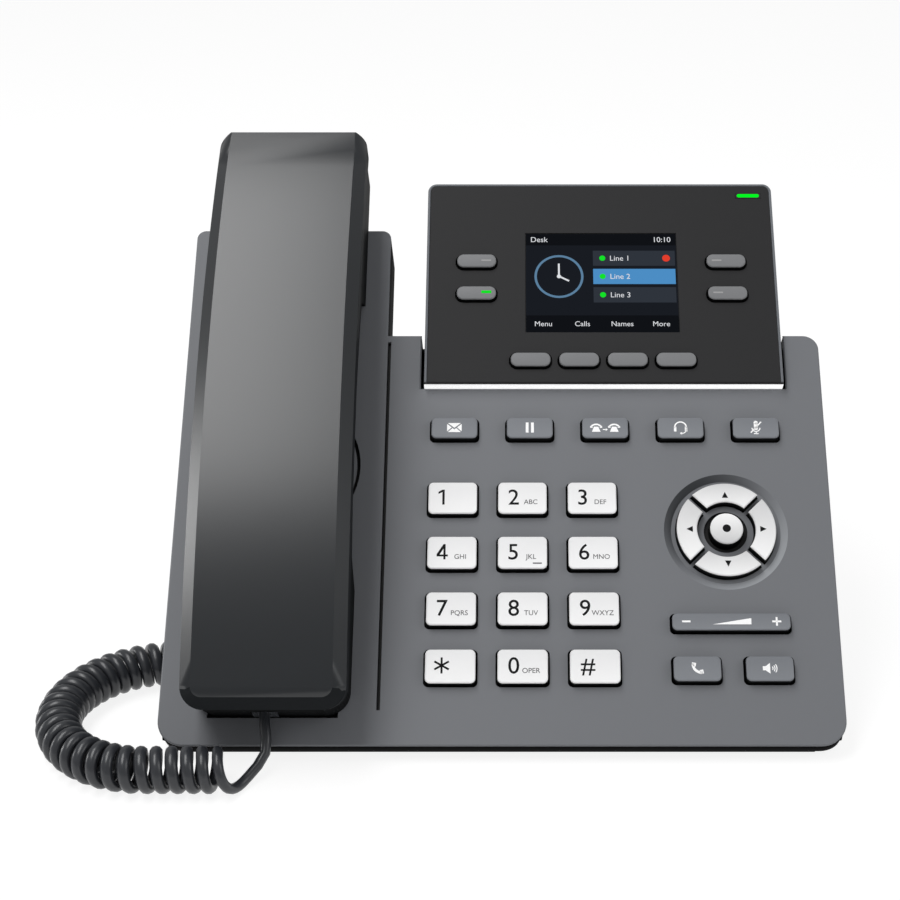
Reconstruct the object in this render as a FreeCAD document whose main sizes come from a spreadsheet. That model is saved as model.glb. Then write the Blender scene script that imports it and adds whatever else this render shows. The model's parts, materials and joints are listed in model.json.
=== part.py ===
import FreeCAD, Part
import math
import os
import re
import Sketcher
from FreeCAD import Vector

# Desk telephone with a corded handset, a colour display and sprung keys.
# Every piece but the stand, feet and cords is drawn flat on the key deck: X to the right, Y up the
# deck from its front edge, Z out of the deck. Its Placement then leans it back by the deck's tilt.
# The stand, feet and cords are drawn on the desk: X right, Y back from the deck's front edge, Z up.

doc = FreeCAD.newDocument("desk_phone")
sheet = doc.addObject("Spreadsheet::Sheet", "Sizes")
frame = doc.addObject("Spreadsheet::Sheet", "Frame")

# Driving dimensions in millimetres and degrees
SIZES = {
    # base
    "tilt": 43,
    "base_width": 208,
    "shoulder": 138.9,
    "cradle_width": 65.8,
    "cradle_top": 179.2,
    "panel": 2.5,
    "skirt": 6.6,
    "depth": 21.5,
    "wall": 2.4,
    "base_corner": 8,
    "shoulder_corner": 5,
    "cradle_corner": 3,
    "panel_edge": 0.6,
    "panel_lip": 1.2,
    "panel_bevel": 0.4,
    "seat_gap": 0.3,
    # groove between the cradle and the key deck
    "groove_width": 1.1,
    "groove_depth": 1.8,
    "groove_start": 11,
    "groove_inset": 1.2,
    # display
    "display_centre": 32.75,
    "display_width": 117,
    "display_bottom": 120,
    "display_top": 195.5,
    "display_face": 3.6,
    "display_back": 9,
    "display_gap": 1.2,
    "display_corner": 3,
    "rim": 0.9,
    "fascia": 2,
    "fascia_ledge": 1.6,
    "board": 1.6,
    "board_ledge": 2,
    "screen_width": 50.9,
    "screen_height": 37.9,
    "screen_y": 157.1,
    "screen_border": 3,
    "screen_recess": 0.3,
    "lamp_width": 8.4,
    "lamp_height": 2,
    "lamp_inset": 8.05,
    "lamp_y": 190.7,
    "strip": 0.5,
    # keys
    "key_gap": 0.6,
    "key_bevel": 0.35,
    "nav_gap": 0.35,
    "key_lip": 0.9,
    "key_flange": 1,
    "key_travel": 1.6,
    "press_gap": 0.1,
    "key_corner": 1.6,
    "key_rise": 2.6,
    "dial_width": 15.4,
    "dial_height": 10.75,
    "dial_pitch_x": 22.07,
    "dial_pitch_y": 18.5,
    "dial_left": -15.85,
    "dial_top": 79.67,
    "dial_rise": 2.4,
    "function_width": 14.8,
    "function_height": 7.2,
    "function_pitch": 24.27,
    "function_centre": 32.9,
    "function_y": 104.07,
    "call_width": 14.5,
    "call_height": 7.9,
    "call_pitch": 22.07,
    "call_y": 23.4,
    "right_centre": 70.4,
    "volume_width": 36.4,
    "volume_height": 5.5,
    "volume_y": 38.4,
    "ridge_width": 1.4,
    "pill_width": 13,
    "pill_height": 5,
    "pill_corner": 2.2,
    "pill_rise": 1.5,
    "line_offset": 41.7,
    "line_upper": 164.6,
    "line_lower": 152.35,
    "soft_pitch": 15.85,
    "soft_y": 127.6,
    "nav_y": 69.2,
    "nav_recess": 19.5,
    "nav_recess_depth": 1,
    "nav_bevel": 2.2,
    "nav_bevel_drop": 0.9,
    "nav_well": 6.9,
    "nav_well_depth": 1,
    "nav_outer": 15.65,
    "nav_inner": 9.2,
    "nav_spoke": 1.8,
    "nav_rise": 2,
    "nav_button": 5.2,
    # cradle and loudspeaker
    "handset_inset": 34.6,
    "cup_clearance": 0.8,
    "cup_depth": 4,
    "mouth_cup_low": 8.6,
    "mouth_cup_high": 50,
    "ear_cup_low": 148,
    "hook_y": 162,
    "hook_width": 9,
    "hook_height": 7,
    "hook_rise": 3.5,
    "hook_lip": 1.5,
    "tab_width": 10,
    "tab_thickness": 1.8,
    "tab_length": 7,
    "speaker_inset": 32.9,
    "speaker_y": 91.5,
    "speaker_ring": 25.5,
    "speaker_radius": 24,
    "speaker_rim": 3,
    "magnet_radius": 13,
    "speaker_depth": 13,
    "slot_width": 1.6,
    "slot_pitch": 5,
    # handset
    "handset_low": 3.6,
    "end_draft": 3.4,
    "mouth_foot": 9.3,
    "handset_high": 200,
    "handset_width": 48.6,
    "handset_step": 0.8,
    "handset_end_low": 25.7,
    "handset_end_high": 28,
    "handset_crown": 39,
    "face_depth": 11,
    "bevel_side": 3.7,
    "bevel_drop": 3.6,
    "handset_corner": 7,
    "handset_top_corner": 4,
    "shell": 2.2,
    "block_bevel": 2.5,
    "block_inset": 4.5,
    "block_shoulder": 0.6,
    "sound_slot": 1.2,
    "sound_pitch": 3,
    "ear_slot_length": 10,
    "mouth_slot_length": 5,
    "mouth_block": 47,
    "ear_block": 151.5,
    "block_slope": 8,
    "arch_foot": 14,
    "arch_crown": 20,
    "receiver_radius": 15,
    "receiver_height": 8,
    "receiver_y": 173,
    "microphone_radius": 5,
    "microphone_height": 5,
    "microphone_y": 31,
    # plugs, jacks and boards
    "plug_width": 7.7,
    "plug_height": 6.6,
    "plug_length": 11,
    "plug_show": 3,
    "plug_offset": 1.6,
    "handset_plug_end": 8.5,
    "lead_run": 4,
    "lead_straight": 7,
    "plug_level": 5,
    "plug_gap": 0.15,
    "jack_y": 64,
    "audio_jack_x": -30,
    "audio_jack_pitch": 15,
    "audio_jack_side": 11.5,
    "network_jack_x": 14,
    "network_jack_width": 33,
    "network_jack_height": 16,
    "network_pitch": 16,
    "network_socket_width": 11.8,
    "network_socket_height": 8.6,
    "socket_depth": 10.5,
    "power_jack_x": 44,
    "power_jack_side": 11,
    "power_bore": 3.2,
    "power_pin": 1,
    "board_left": -38,
    "board_right": 91,
    "board_low": 12,
    "board_high": 112,
    "mat_margin": 3,
    "mat_base": 1,
    "contact_height": 0.8,
    "contact_side": 5,
    # screws, feet and stand
    "vent_width": 1.8,
    "vent_length": 22,
    "vent_pitch": 5,
    "vent_y": 36,
    "vent_side": 60,
    "screw_inset": 7.5,
    "screw_low": 62,
    "screw_high": 128,
    "screw_radius": 1.5,
    "screw_head": 3,
    "screw_head_height": 1.4,
    "screw_length": 11,
    "screw_gap": 0.15,
    "boss_radius": 4,
    "foot_height": 1.2,
    "foot_width": 18,
    "foot_depth": 9,
    "foot_x": 82,
    "foot_y": 15,
    "stand_low": 84,
    "stand_high": 112,
    "stand_width": 132,
    "stand_wall": 3,
    "stand_toe": 100,
    "stand_heel": 116,
    "stand_window": 70,
    "stand_window_height": 26,
    "stand_foot_x": 54,
    "plate_inset": 1,
    # handset cord
    "cord": 3.2,
    "coil_outer": 14.3,
    "coil_pitch": 4.5,
    "coil_turns": 31,
    "coil_begin": -30,
    "coil_opening": 0.5,
    "coil_open_until": 149,
    "cord_straight": 4.7,
    "jack_straight": 7.05,
    "coil_bend": 31.7,
    "coil_front_y": -14.9,
    "coil_start_x": -80.5,
    "coil_bend_x": -104.2,
}
# Sizes that follow from the driving ones
DERIVED = {
    "deck_height": "skirt * cos(tilt) + foot_height",
    "cradle_right": "cradle_width - base_width / 2",
    "handset_x": "handset_inset - base_width / 2",
    "handset_plug_x": "handset_x - plug_offset",
    "speaker_x": "speaker_inset - base_width / 2",
    "screw_x": "base_width / 2 - screw_inset",
    "lamp_x": "display_centre + display_width / 2 - lamp_inset",
    "notch_left": "display_centre - display_width / 2 - display_gap",
    "notch_right": "display_centre + display_width / 2 + display_gap",
    "notch_low": "display_bottom - strip - press_gap",
    "key_root": "panel + key_flange",
    "mat_top": "key_root + key_travel + press_gap",
    "board_top": "mat_top + contact_height + mat_base",
    "board_back": "board_top + board",
    "fascia_back": "display_face - fascia",
    "screen_board": "fascia_back - key_flange - key_travel - press_gap",
    "block_width": "handset_width - 2 * handset_step - 2 * block_inset",
    "cup_width": "block_width + 2 * cup_clearance",
    "block_floor": "cup_depth - seat_gap",
    "handset_middle": "(handset_low + handset_high) / 2",
}


def fill_sheet():
    """Write the driving sizes as numbers and the derived ones as formulas, each with its alias."""
    rows = list(SIZES.items()) + [(word, "=" + formula) for word, formula in DERIVED.items()]
    for row, (word, content) in enumerate(rows, start=1):
        sheet.set(f"A{row}", word)
        sheet.set(f"B{row}", str(content))
        sheet.setAlias(f"B{row}", word)
    # the shift has a sheet of its own, so that centring the telephone redraws nothing
    frame.set("A1", "frame_shift")
    frame.set("B1", "0")
    frame.setAlias("B1", "frame_shift")
    doc.recompute()


fill_sheet()


def value(formula):
    """The number that a formula of sheet words comes to."""
    return float(sheet.evalExpression(str(formula)))


def bound(formula):
    """The formula with its words pointing at the sheet, for setExpression."""
    functions = ("cos", "sin", "tan", "sqrt")
    def point(word):
        return word.group() if word.group() in functions else "Sizes." + word.group()
    return re.sub(r"[a-z][a-z_]+", point, str(formula))


# Placing
def lean(piece):
    """Lean a piece drawn on the deck back by the tilt, over the desk."""
    place = "create(<<vector>>; 0; Frame.frame_shift; Sizes.deck_height)"
    turn = "create(<<rotation>>; create(<<vector>>; 1; 0; 0); Sizes.tilt)"
    piece.setExpression("Placement", f"create(<<placement>>; {place}; {turn})")


def stand_on_desk(piece):
    """Set a piece drawn on the desk at its place in the object's frame."""
    piece.setExpression(".Placement.Base.y", "Frame.frame_shift")


def new_body(name, place=lean):
    body = doc.addObject("PartDesign::Body", name)
    body.Label = name
    place(body)
    return body


# Sketching
def sketch_on(body, name, x="0", y="0", z="0", role="XY_Plane", turn=0):
    """A sketch on one of the body's own planes, moved to x, y, z in the sketch's own directions."""
    sketch = body.newObject("Sketcher::SketchObject", name)
    support = next(plane for plane in body.Origin.OriginFeatures if plane.Role == role)
    sketch.AttachmentSupport = (support, [""])
    sketch.MapMode = "FlatFace"
    sketch.AttachmentOffset = FreeCAD.Placement(Vector(), FreeCAD.Rotation(Vector(0, 0, 1), turn))
    for axis, formula in zip("xyz", (x, y, z)):
        sketch.setExpression(f".AttachmentOffset.Base.{axis}", bound(formula))
    return sketch


def rule(kind, *places):
    """A constraint with no size of its own."""
    return Sketcher.Constraint(kind, *places), None


def dimension(formula, kind, *places):
    """A constraint whose number comes from the sheet."""
    return Sketcher.Constraint(kind, *places, value(formula)), formula


def apply(sketch, rules):
    """Add constraints together and bind those with a size to the sheet."""
    numbers = sketch.addConstraint([constraint for constraint, formula in rules])
    for number, (constraint, formula) in zip(numbers, rules):
        if formula:
            sketch.setExpression(f"Constraints[{number}]", bound(formula))


def add_loop(sketch, curves):
    """Add curves end to end as a closed loop and return the first one's number."""
    first = sketch.GeometryCount
    for curve in curves:
        sketch.addGeometry(curve, False)
    return first


def held(geometry, end, x, y):
    """Rules that hold one end of a curve at x, y, each a formula of the sheet."""
    for formula, kind, axis in ((x, "DistanceX", -2), (y, "DistanceY", -1)):
        number = value(formula)
        if abs(number) < 1e-9:
            yield rule("PointOnObject", geometry, end, axis)
        elif number > 0:
            yield dimension(formula, kind, -1, 1, geometry, end)
        else:
            yield dimension(f"-({formula})", kind, geometry, end, -1, 1)


def centre_mark(sketch, x, y):
    """A construction point held at x, y, and the rules that hold it."""
    mark = sketch.addGeometry(Part.Point(Vector(value(x), value(y), 0)), True)
    return mark, list(held(mark, 1, x, y))


def arc_through(start, crown, end):
    """An arc by three points, drawn anticlockwise, and whether that swapped its ends."""
    ring = Part.Circle(start, crown, end)
    swapped = (crown - start).cross(end - crown).z < 0
    first, last = (end, start) if swapped else (start, end)
    angles = [math.atan2(point.y - ring.Center.y, point.x - ring.Center.x) for point in (first, last)]
    flat_ring = Part.Circle(ring.Center, Vector(0, 0, 1), ring.Radius)
    return Part.ArcOfCircle(flat_ring, *angles), swapped


def outline(sketch, corners, arcs=None):
    """A closed loop through corners given as formulas. arcs maps a corner's number to the crown's
    place on the arc that leads from it to the next corner, and the rest are straight."""
    arcs = arcs or {}
    points = [Vector(value(x), value(y), 0) for x, y in corners]
    curves, ends = [], []
    for number, (start, end) in enumerate(zip(points, points[1:] + points[:1])):
        if number in arcs:
            crown = Vector(*(value(part) for part in arcs[number]), 0)
            curve, swapped = arc_through(start, crown, end)
        else:
            curve, swapped = Part.LineSegment(start, end), False
        curves.append(curve)
        ends.append((2, 1) if swapped else (1, 2))
    first = add_loop(sketch, curves)
    rules = []
    for number, (x, y) in enumerate(corners):
        after = (number + 1) % len(corners)
        rules.append(rule("Coincident", first + number, ends[number][1], first + after, ends[after][0]))
        rules += held(first + number, ends[number][0], x, y)
    for number, crown in arcs.items():
        mark, mark_rules = centre_mark(sketch, *crown)
        rules += mark_rules + [rule("PointOnObject", mark, 1, first + number)]
    apply(sketch, rules)


def round_cornered(sketch, corners):
    """A closed loop of straight sides. A corner is x, y and, where it is round, a radius."""
    points = [Vector(value(x), value(y), 0) for x, y, *radius in corners]
    sides, arcs = [], {}
    inset = 1 - math.sqrt(0.5)
    for number, (x, y, *radius) in enumerate(corners):
        if not radius:
            sides.append((x, y))
            continue
        steps = []
        for other in (points[number - 1], points[(number + 1) % len(points)]):
            way = (other - points[number]).normalize()
            steps.append((round(way.x), round(way.y)))
        def moved(across, along, share=1):
            return f"{x} + {across * share} * ({radius[0]})", f"{y} + {along * share} * ({radius[0]})"
        arcs[len(sides)] = moved(steps[0][0] + steps[1][0], steps[0][1] + steps[1][1], inset)
        sides += [moved(*steps[0]), moved(*steps[1])]
    outline(sketch, sides, arcs)


def rounded_rectangle(sketch, x, y, width, height, corner):
    """A rectangle about x, y with four equal round corners."""
    middle = Vector(value(x), value(y), 0)
    across, along, radius = value(width) / 2, value(height) / 2, value(corner)
    quarter, up = math.pi / 2, Vector(0, 0, 1)
    signs = ((1, 1), (-1, 1), (-1, -1), (1, -1))
    centres = [middle + Vector(a * (across - radius), b * (along - radius), 0) for a, b in signs]
    curves = []
    for number, centre in enumerate(centres):
        ring = Part.Circle(centre, up, radius)
        curves.append(Part.ArcOfCircle(ring, number * quarter, (number + 1) * quarter))
        edge = FreeCAD.Rotation(up, 90 * (number + 1)).multVec(Vector(radius, 0, 0))
        curves.append(Part.LineSegment(centre + edge, centres[(number + 1) % 4] + edge))
    first = add_loop(sketch, curves)
    mark, rules = centre_mark(sketch, x, y)
    for side in range(4):
        arc, line, after = first + 2 * side, first + 2 * side + 1, first + (2 * side + 2) % 8
        rules += [rule("Tangent", arc, 2, line, 1), rule("Tangent", line, 2, after, 1),
                  rule("Vertical" if side % 2 else "Horizontal", line)]
        if side:
            rules.append(rule("Equal", first, arc))
    rules += [rule("Symmetric", first, 3, first + 4, 3, mark, 1),
              dimension(corner, "Radius", first),
              dimension(width, "DistanceX", first + 3, 1, first + 7, 1),
              dimension(height, "DistanceY", first + 5, 1, first + 1, 1)]
    apply(sketch, rules)


def rectangle(sketch, x, y, width, height):
    """A plain rectangle about x, y."""
    middle = Vector(value(x), value(y), 0)
    across, along = value(width) / 2, value(height) / 2
    signs = ((-1, -1), (1, -1), (1, 1), (-1, 1))
    corners = [middle + Vector(a * across, b * along, 0) for a, b in signs]
    first = add_loop(sketch, [Part.LineSegment(a, b) for a, b in zip(corners, corners[1:] + corners[:1])])
    mark, rules = centre_mark(sketch, x, y)
    for side in range(4):
        rules += [rule("Coincident", first + side, 2, first + (side + 1) % 4, 1),
                  rule("Vertical" if side % 2 else "Horizontal", first + side)]
    rules += [rule("Symmetric", first, 1, first + 2, 1, mark, 1),
              dimension(width, "DistanceX", first, 1, first, 2),
              dimension(height, "DistanceY", first + 1, 1, first + 1, 2)]
    apply(sketch, rules)


def circle(sketch, x, y, radius):
    """A circle about x, y."""
    middle = Vector(value(x), value(y), 0)
    ring = sketch.addGeometry(Part.Circle(middle, Vector(0, 0, 1), value(radius)), False)
    apply(sketch, [*held(ring, 3, x, y), dimension(radius, "Radius", ring)])


def ring_sector(sketch, inner, outer, spoke):
    """The quarter of a ring about the sketch's +X, cut back from both diagonals by half a spoke."""
    half = value(spoke) / 2
    def corner(radius, side):
        angle = side * (math.pi / 4 - math.asin(half / radius))
        return Vector(radius * math.cos(angle), radius * math.sin(angle), 0)
    radii = [value(inner), value(outer)]
    arcs = []
    for radius in radii:
        end = math.pi / 4 - math.asin(half / radius)
        arcs.append(Part.ArcOfCircle(Part.Circle(Vector(), Vector(0, 0, 1), radius), -end, end))
    lines = [Part.LineSegment(corner(radii[0], side), corner(radii[1], side)) for side in (-1, 1)]
    first = add_loop(sketch, arcs + lines)
    rules = []
    for arc, radius in ((first, inner), (first + 1, outer)):
        rules += [rule("Coincident", arc, 3, -1, 1), dimension(radius, "Radius", arc)]
    for line, end, angle in ((first + 2, 1, -math.pi / 4), (first + 3, 2, math.pi / 4)):
        rules += [rule("Coincident", line, 1, first, end), rule("Coincident", line, 2, first + 1, end),
                  rule("Angle", line, angle), dimension(f"({spoke}) / 2", "Distance", -1, 1, line)]
    apply(sketch, rules)


# Features
def pad(body, sketch, length, both_ways=False):
    feature = body.newObject("PartDesign::Pad", sketch.Name + "_pad")
    feature.Profile = sketch
    feature.setExpression("Length", bound(length))
    feature.Midplane = both_ways
    sketch.Visibility = False
    return feature


def pocket(body, sketch, length, both_ways=False, upwards=False):
    """Cut a sketch's outline down from its plane, or up from it, and see that it cut something."""
    if "Touched" in body.State:
        doc.recompute([body])
    before = body.Shape.Volume
    feature = body.newObject("PartDesign::Pocket", sketch.Name + "_cut")
    feature.Profile = sketch
    feature.setExpression("Length", bound(length))
    feature.Midplane = both_ways
    feature.Reversed = upwards
    doc.recompute([body])
    if not body.Shape.Volume < before - 1e-3:
        raise ValueError(f"{body.Label}: {sketch.Name} cut nothing")
    return feature


def turn_up(body, sketch):
    """Revolve a profile about its sketch's upright axis."""
    feature = body.newObject("PartDesign::Revolution", sketch.Name + "_turned")
    feature.Profile = sketch
    feature.ReferenceAxis = (sketch, ["V_Axis"])
    feature.Angle = 360
    return feature


def dress(body, kind, size, chosen, drop=None):
    """Fillet or chamfer the edges of the body that a test picks out."""
    doc.recompute([body])
    base = body.Tip
    names = [f"Edge{number}" for number, edge in enumerate(base.Shape.Edges, 1) if chosen(edge)]
    if not names:
        raise ValueError(f"{body.Label}: no edge to {kind}")
    feature = body.newObject("PartDesign::" + kind, f"{body.Name}_{kind.lower()}")
    feature.Base = (base, names)
    if drop:
        feature.ChamferType = "Two distances"
        feature.setExpression("Size2", bound(drop))
    feature.setExpression("Radius" if kind == "Fillet" else "Size", bound(size))
    doc.recompute([body])
    return feature


def upright_at(*places):
    """A test for upright edges at the given x, y formulas."""
    spots = [(value(x), value(y)) for x, y in places]
    def chosen(edge):
        a, b = edge.Vertexes[0].Point, edge.Vertexes[-1].Point
        upright = math.hypot(a.x - b.x, a.y - b.y) < 1e-4 and abs(a.z - b.z) > 1e-4
        return upright and any(math.hypot(a.x - x, a.y - y) < 1e-3 for x, y in spots)
    return chosen


def level_at(height):
    """Edges that lie at one height of the deck."""
    def chosen(edge):
        box = edge.BoundBox
        return box.ZLength < 1e-4 and abs(box.ZMin - value(height)) < 1e-3
    return chosen


def ring_at(radius):
    """Whole circles of a radius on the deck's face."""
    def chosen(edge):
        return level_at("0")(edge) and abs(edge.BoundBox.XLength - 2 * value(radius)) < 1e-3
    return chosen


def draw(sketch, x, y=None, width=None, height=None, corner=None):
    """A circle of a radius, a plain or round-cornered rectangle about x, y, or a loop of corners."""
    if y is None:
        round_cornered(sketch, x)
    elif height is None:
        circle(sketch, x, y, width)
    elif corner is None:
        rectangle(sketch, x, y, width, height)
    else:
        rounded_rectangle(sketch, x, y, width, height, corner)


def drawn(body, name, level, shapes, together=4):
    """Sketches of the shapes at a level, a few shapes to each so that they solve quickly."""
    for start in range(0, len(shapes), together):
        sketch = sketch_on(body, f"{name}_{start + 1}", z=level)
        for shape in shapes[start:start + together]:
            draw(sketch, *shape)
        yield sketch


def blocks(body, name, low, high, shapes):
    """Add the shapes, each as draw takes it, between two levels."""
    for sketch in drawn(body, name, low, shapes):
        pad(body, sketch, f"({high}) - ({low})")


def holes(body, name, level, depth, shapes, upwards=False):
    """Cut the shapes, each as draw takes it, down or up from a level."""
    for sketch in drawn(body, name, level, shapes):
        pocket(body, sketch, depth, upwards=upwards)


# Where the keys are: name, x, y, width, height, corner and rise
def deck_keys():
    names = ("1", "2", "3", "4", "5", "6", "7", "8", "9", "star", "0", "hash")
    for number, name in enumerate(names):
        row, column = divmod(number, 3)
        yield (f"dial_key_{name}", f"dial_left + {column} * dial_pitch_x",
               f"dial_top - {row} * dial_pitch_y", "dial_width", "dial_height", "key_corner", "dial_rise")
    for number, name in enumerate(("message", "hold", "transfer", "headset", "mute")):
        yield (f"{name}_key", f"function_centre + {number - 2} * function_pitch", "function_y",
               "function_width", "function_height", "key_corner", "key_rise")
    for side, name in ((-1, "send"), (1, "speaker")):
        yield (f"{name}_key", f"right_centre + {side} * call_pitch / 2", "call_y",
               "call_width", "call_height", "key_corner", "key_rise")


def display_keys():
    for side, across in (("left", -1), ("right", 1)):
        for level in ("upper", "lower"):
            yield (f"line_key_{side}_{level}", f"display_centre + {across} * line_offset", f"line_{level}")
    for number in range(4):
        yield (f"soft_key_{number + 1}", f"display_centre + {number - 1.5} * soft_pitch", "soft_y")


NAV_SECTORS = (("right", 0), ("up", 90), ("left", 180), ("down", 270))
VOLUME_KEY = ("volume_key", "right_centre", "volume_y", "volume_width", "volume_height", "key_corner",
              "key_rise")
AUDIO_JACKS = ("audio_jack_x", "audio_jack_x + audio_jack_pitch")
JACKS = [(x, "audio_jack_side", "audio_jack_side") for x in AUDIO_JACKS]
JACKS.append(("network_jack_x", "network_jack_width", "network_jack_height"))
JACKS.append(("power_jack_x", "power_jack_side", "power_jack_side"))
TAB_Y = "ear_cup_low - tab_thickness / 2"
SCREWS = [("-screw_x", "screw_low"), ("-screw_x", "screw_high"),
          ("screw_x", "screw_low"), ("screw_x", "screw_high")]


# The deck's outline, drawn in from its edge by an inset
def deck_corners(inset="0", notch=True):
    inset = f"({inset})"
    left, right = f"({inset} - base_width / 2)", f"(base_width / 2 - {inset})"
    low, shoulder, top = inset, f"(shoulder - {inset})", f"(cradle_top - {inset})"
    inner = f"(cradle_right - {inset})"
    notches = [("notch_right", shoulder), ("notch_right", "notch_low"),
               ("notch_left", "notch_low"), ("notch_left", shoulder)]
    return [(left, low, f"base_corner - {inset}"), (right, low, f"base_corner - {inset}"),
            (right, shoulder, f"shoulder_corner - {inset}"), *(notches if notch else []), (inner, shoulder),
            (inner, top, f"cradle_corner - {inset}"), (left, top, f"cradle_corner - {inset}")]


# Front housing: deck panel with cradle tower, cups, grille and key holes
def make_front_housing():
    body = new_body("front_housing")
    sketch = sketch_on(body, "deck_outline", z="-panel_edge")
    round_cornered(sketch, deck_corners())
    pad(body, sketch, "panel_edge")
    sketch = sketch_on(body, "deck_spigot", z="-panel")
    round_cornered(sketch, deck_corners("panel_lip"))
    pad(body, sketch, "panel - panel_edge")
    dress(body, "Chamfer", "panel_bevel", level_at("0"))
    # bosses under the two cups and for the screws
    mouth = ("handset_x", "(mouth_cup_low + mouth_cup_high) / 2", "cup_width",
             "mouth_cup_high - mouth_cup_low")
    ear_low = "(ear_cup_low - tab_thickness - wall)"
    cup_outer = "cup_width + 2 * wall"
    blocks(body, "cup_bosses", "-cup_depth - wall", "-panel",
           [(mouth[0], mouth[1], cup_outer, f"{mouth[3]} + 2 * wall"),
            ("handset_x", f"({ear_low} + cradle_top) / 2", cup_outer, f"cradle_top - {ear_low}")])
    blocks(body, "screw_bosses", "wall - depth", "-panel", [(x, y, "boss_radius") for x, y in SCREWS])
    holes(body, "screw_cores", "wall - depth", "screw_length",
          [(x, y, "screw_radius + screw_gap") for x, y in SCREWS], upwards=True)
    # cups for the handset's two ends, the upper one open at the cradle's top
    holes(body, "cups", "0", "cup_depth",
          [mouth, ("handset_x", "(ear_cup_low + cradle_top + wall) / 2", "cup_width",
                   "cradle_top + wall - ear_cup_low")])
    holes(body, "hook_slot", "-cup_depth", "wall",
          [("handset_x", "hook_y", "hook_width + 2 * key_gap", "hook_height + 2 * key_gap")])
    holes(body, "tab_slot", "0", "tab_length", [("handset_x", TAB_Y, "tab_width", "tab_thickness")])
    # groove beside the cradle, ring round the loudspeaker and its slots
    holes(body, "grooves", "0", "groove_depth",
          [("cradle_right + groove_inset - groove_width / 2", "(groove_start + shoulder - wall) / 2",
            "groove_width", "shoulder - wall - groove_start"),
           ("speaker_x", "speaker_y", "speaker_ring"),
           ("speaker_x", "speaker_y", "speaker_ring - groove_width")])
    rows = range(-3, 4)
    span = "2 * sqrt((speaker_radius - speaker_rim)^2 - ({row} * slot_pitch)^2)"
    holes(body, "grille_slots", "0", "panel",
          [("speaker_x", f"speaker_y + {row} * slot_pitch", span.format(row=row), "slot_width")
           for row in rows])
    # navigation dish with its spider left standing
    holes(body, "nav_dish", "0", "nav_recess_depth", [("right_centre", "nav_y", "nav_recess - nav_bevel")])
    dress(body, "Chamfer", "nav_bevel", ring_at("nav_recess - nav_bevel"), "nav_bevel_drop")
    holes(body, "nav_well", "-nav_recess_depth", "nav_well_depth", [("right_centre", "nav_y", "nav_well")])
    sketch = sketch_on(body, "nav_hole", "right_centre", "nav_y", "0")
    ring_sector(sketch, "nav_inner - nav_gap", "nav_outer + nav_gap", "nav_spoke - 2 * nav_gap")
    hole = pocket(body, sketch, "panel")
    around = body.newObject("PartDesign::PolarPattern", "nav_holes")
    around.Originals = [hole]
    around.Axis = (sketch, ["N_Axis"])
    around.Angle = 360
    around.Occurrences = len(NAV_SECTORS)
    body.Tip = around
    # key holes
    shapes = [(x, y, f"{width} + 2 * key_gap", f"{height} + 2 * key_gap", corner)
              for name, x, y, width, height, corner, rise in [*deck_keys(), VOLUME_KEY]]
    holes(body, "key_holes", "0", "panel", [("right_centre", "nav_y", "nav_button + nav_gap"), *shapes])


# Rear housing: tub under the deck, cut level with the desk at its front
def make_rear_housing():
    body = new_body("rear_housing")
    side = sketch_on(body, "tub_side", role="YZ_Plane")
    heel = "(depth - skirt) / tan(tilt)"
    outline(side, [("0", "-panel_edge"), ("0", "-skirt"), (heel, "-depth"), ("shoulder", "-depth"),
                   ("shoulder", "-panel_edge")])
    pad(body, side, "base_width", both_ways=True)
    tower_x = "(cradle_width - base_width) / 2"
    blocks(body, "tower", "-depth", "-panel_edge",
           [(tower_x, "(shoulder + cradle_top) / 2", "cradle_width", "cradle_top - shoulder")])
    half = "base_width / 2"
    dress(body, "Fillet", "shoulder_corner", upright_at((half, "shoulder")))
    dress(body, "Fillet", "cradle_corner",
          upright_at((f"-{half}", "cradle_top"), ("cradle_right", "cradle_top")))
    dress(body, "Fillet", "base_corner", upright_at((f"-{half}", "0"), (half, "0")))
    # seat for the deck's spigot
    sketch = sketch_on(body, "panel_seat", z="-panel_edge")
    round_cornered(sketch, deck_corners("panel_lip - press_gap", notch=False))
    pocket(body, sketch, "panel - panel_edge")
    # hollow
    inner = sketch_on(body, "tub_inside", role="YZ_Plane")
    slope = "wall / cos(tilt) - skirt"
    outline(inner, [("wall", "0"), ("wall", f"{slope} - wall * tan(tilt)"),
                    (f"(depth - wall + {slope}) / tan(tilt)", "wall - depth"),
                    ("shoulder - wall", "wall - depth"), ("shoulder - wall", "0")])
    pocket(body, inner, "base_width - 2 * wall", both_ways=True)
    overlap = "seat_gap"
    holes(body, "tower_inside", "-panel", "depth - wall - panel",
          [(tower_x, f"(shoulder + cradle_top - {overlap}) / 2 - wall", "cradle_width - 2 * wall",
            f"cradle_top - shoulder + {overlap}")])
    # notches for the display and for the ear cup's open end
    holes(body, "display_notch", "-panel_edge", "display_back + seat_gap - panel_edge",
          [("display_centre", "shoulder", "notch_right - notch_left", "4 * wall")])
    holes(body, "cup_notch", "-panel_edge", "cup_depth + wall + seat_gap - panel_edge",
          [("handset_x", "cradle_top", "cup_width + 2 * wall + 2 * seat_gap", "3 * wall")])
    holes(body, "vents", "-depth", "wall",
          [(f"{side} * vent_side + {row} * vent_pitch", "vent_y", "vent_width", "vent_length")
           for side in (-1, 1) for row in (-1.5, -0.5, 0.5, 1.5)], upwards=True)
    # windows for the jacks and holes for the screws
    holes(body, "jack_windows", "-depth", "wall",
          [(x, "jack_y", f"{width} + 2 * seat_gap", f"{height} + 2 * seat_gap")
           for x, width, height in JACKS], upwards=True)
    holes(body, "screw_holes", "-depth", "wall", [(x, y, "screw_radius + screw_gap") for x, y in SCREWS],
          upwards=True)
    holes(body, "screw_seats", "-depth", "screw_head_height",
          [(x, y, "screw_head + screw_gap") for x, y in SCREWS], upwards=True)


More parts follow.
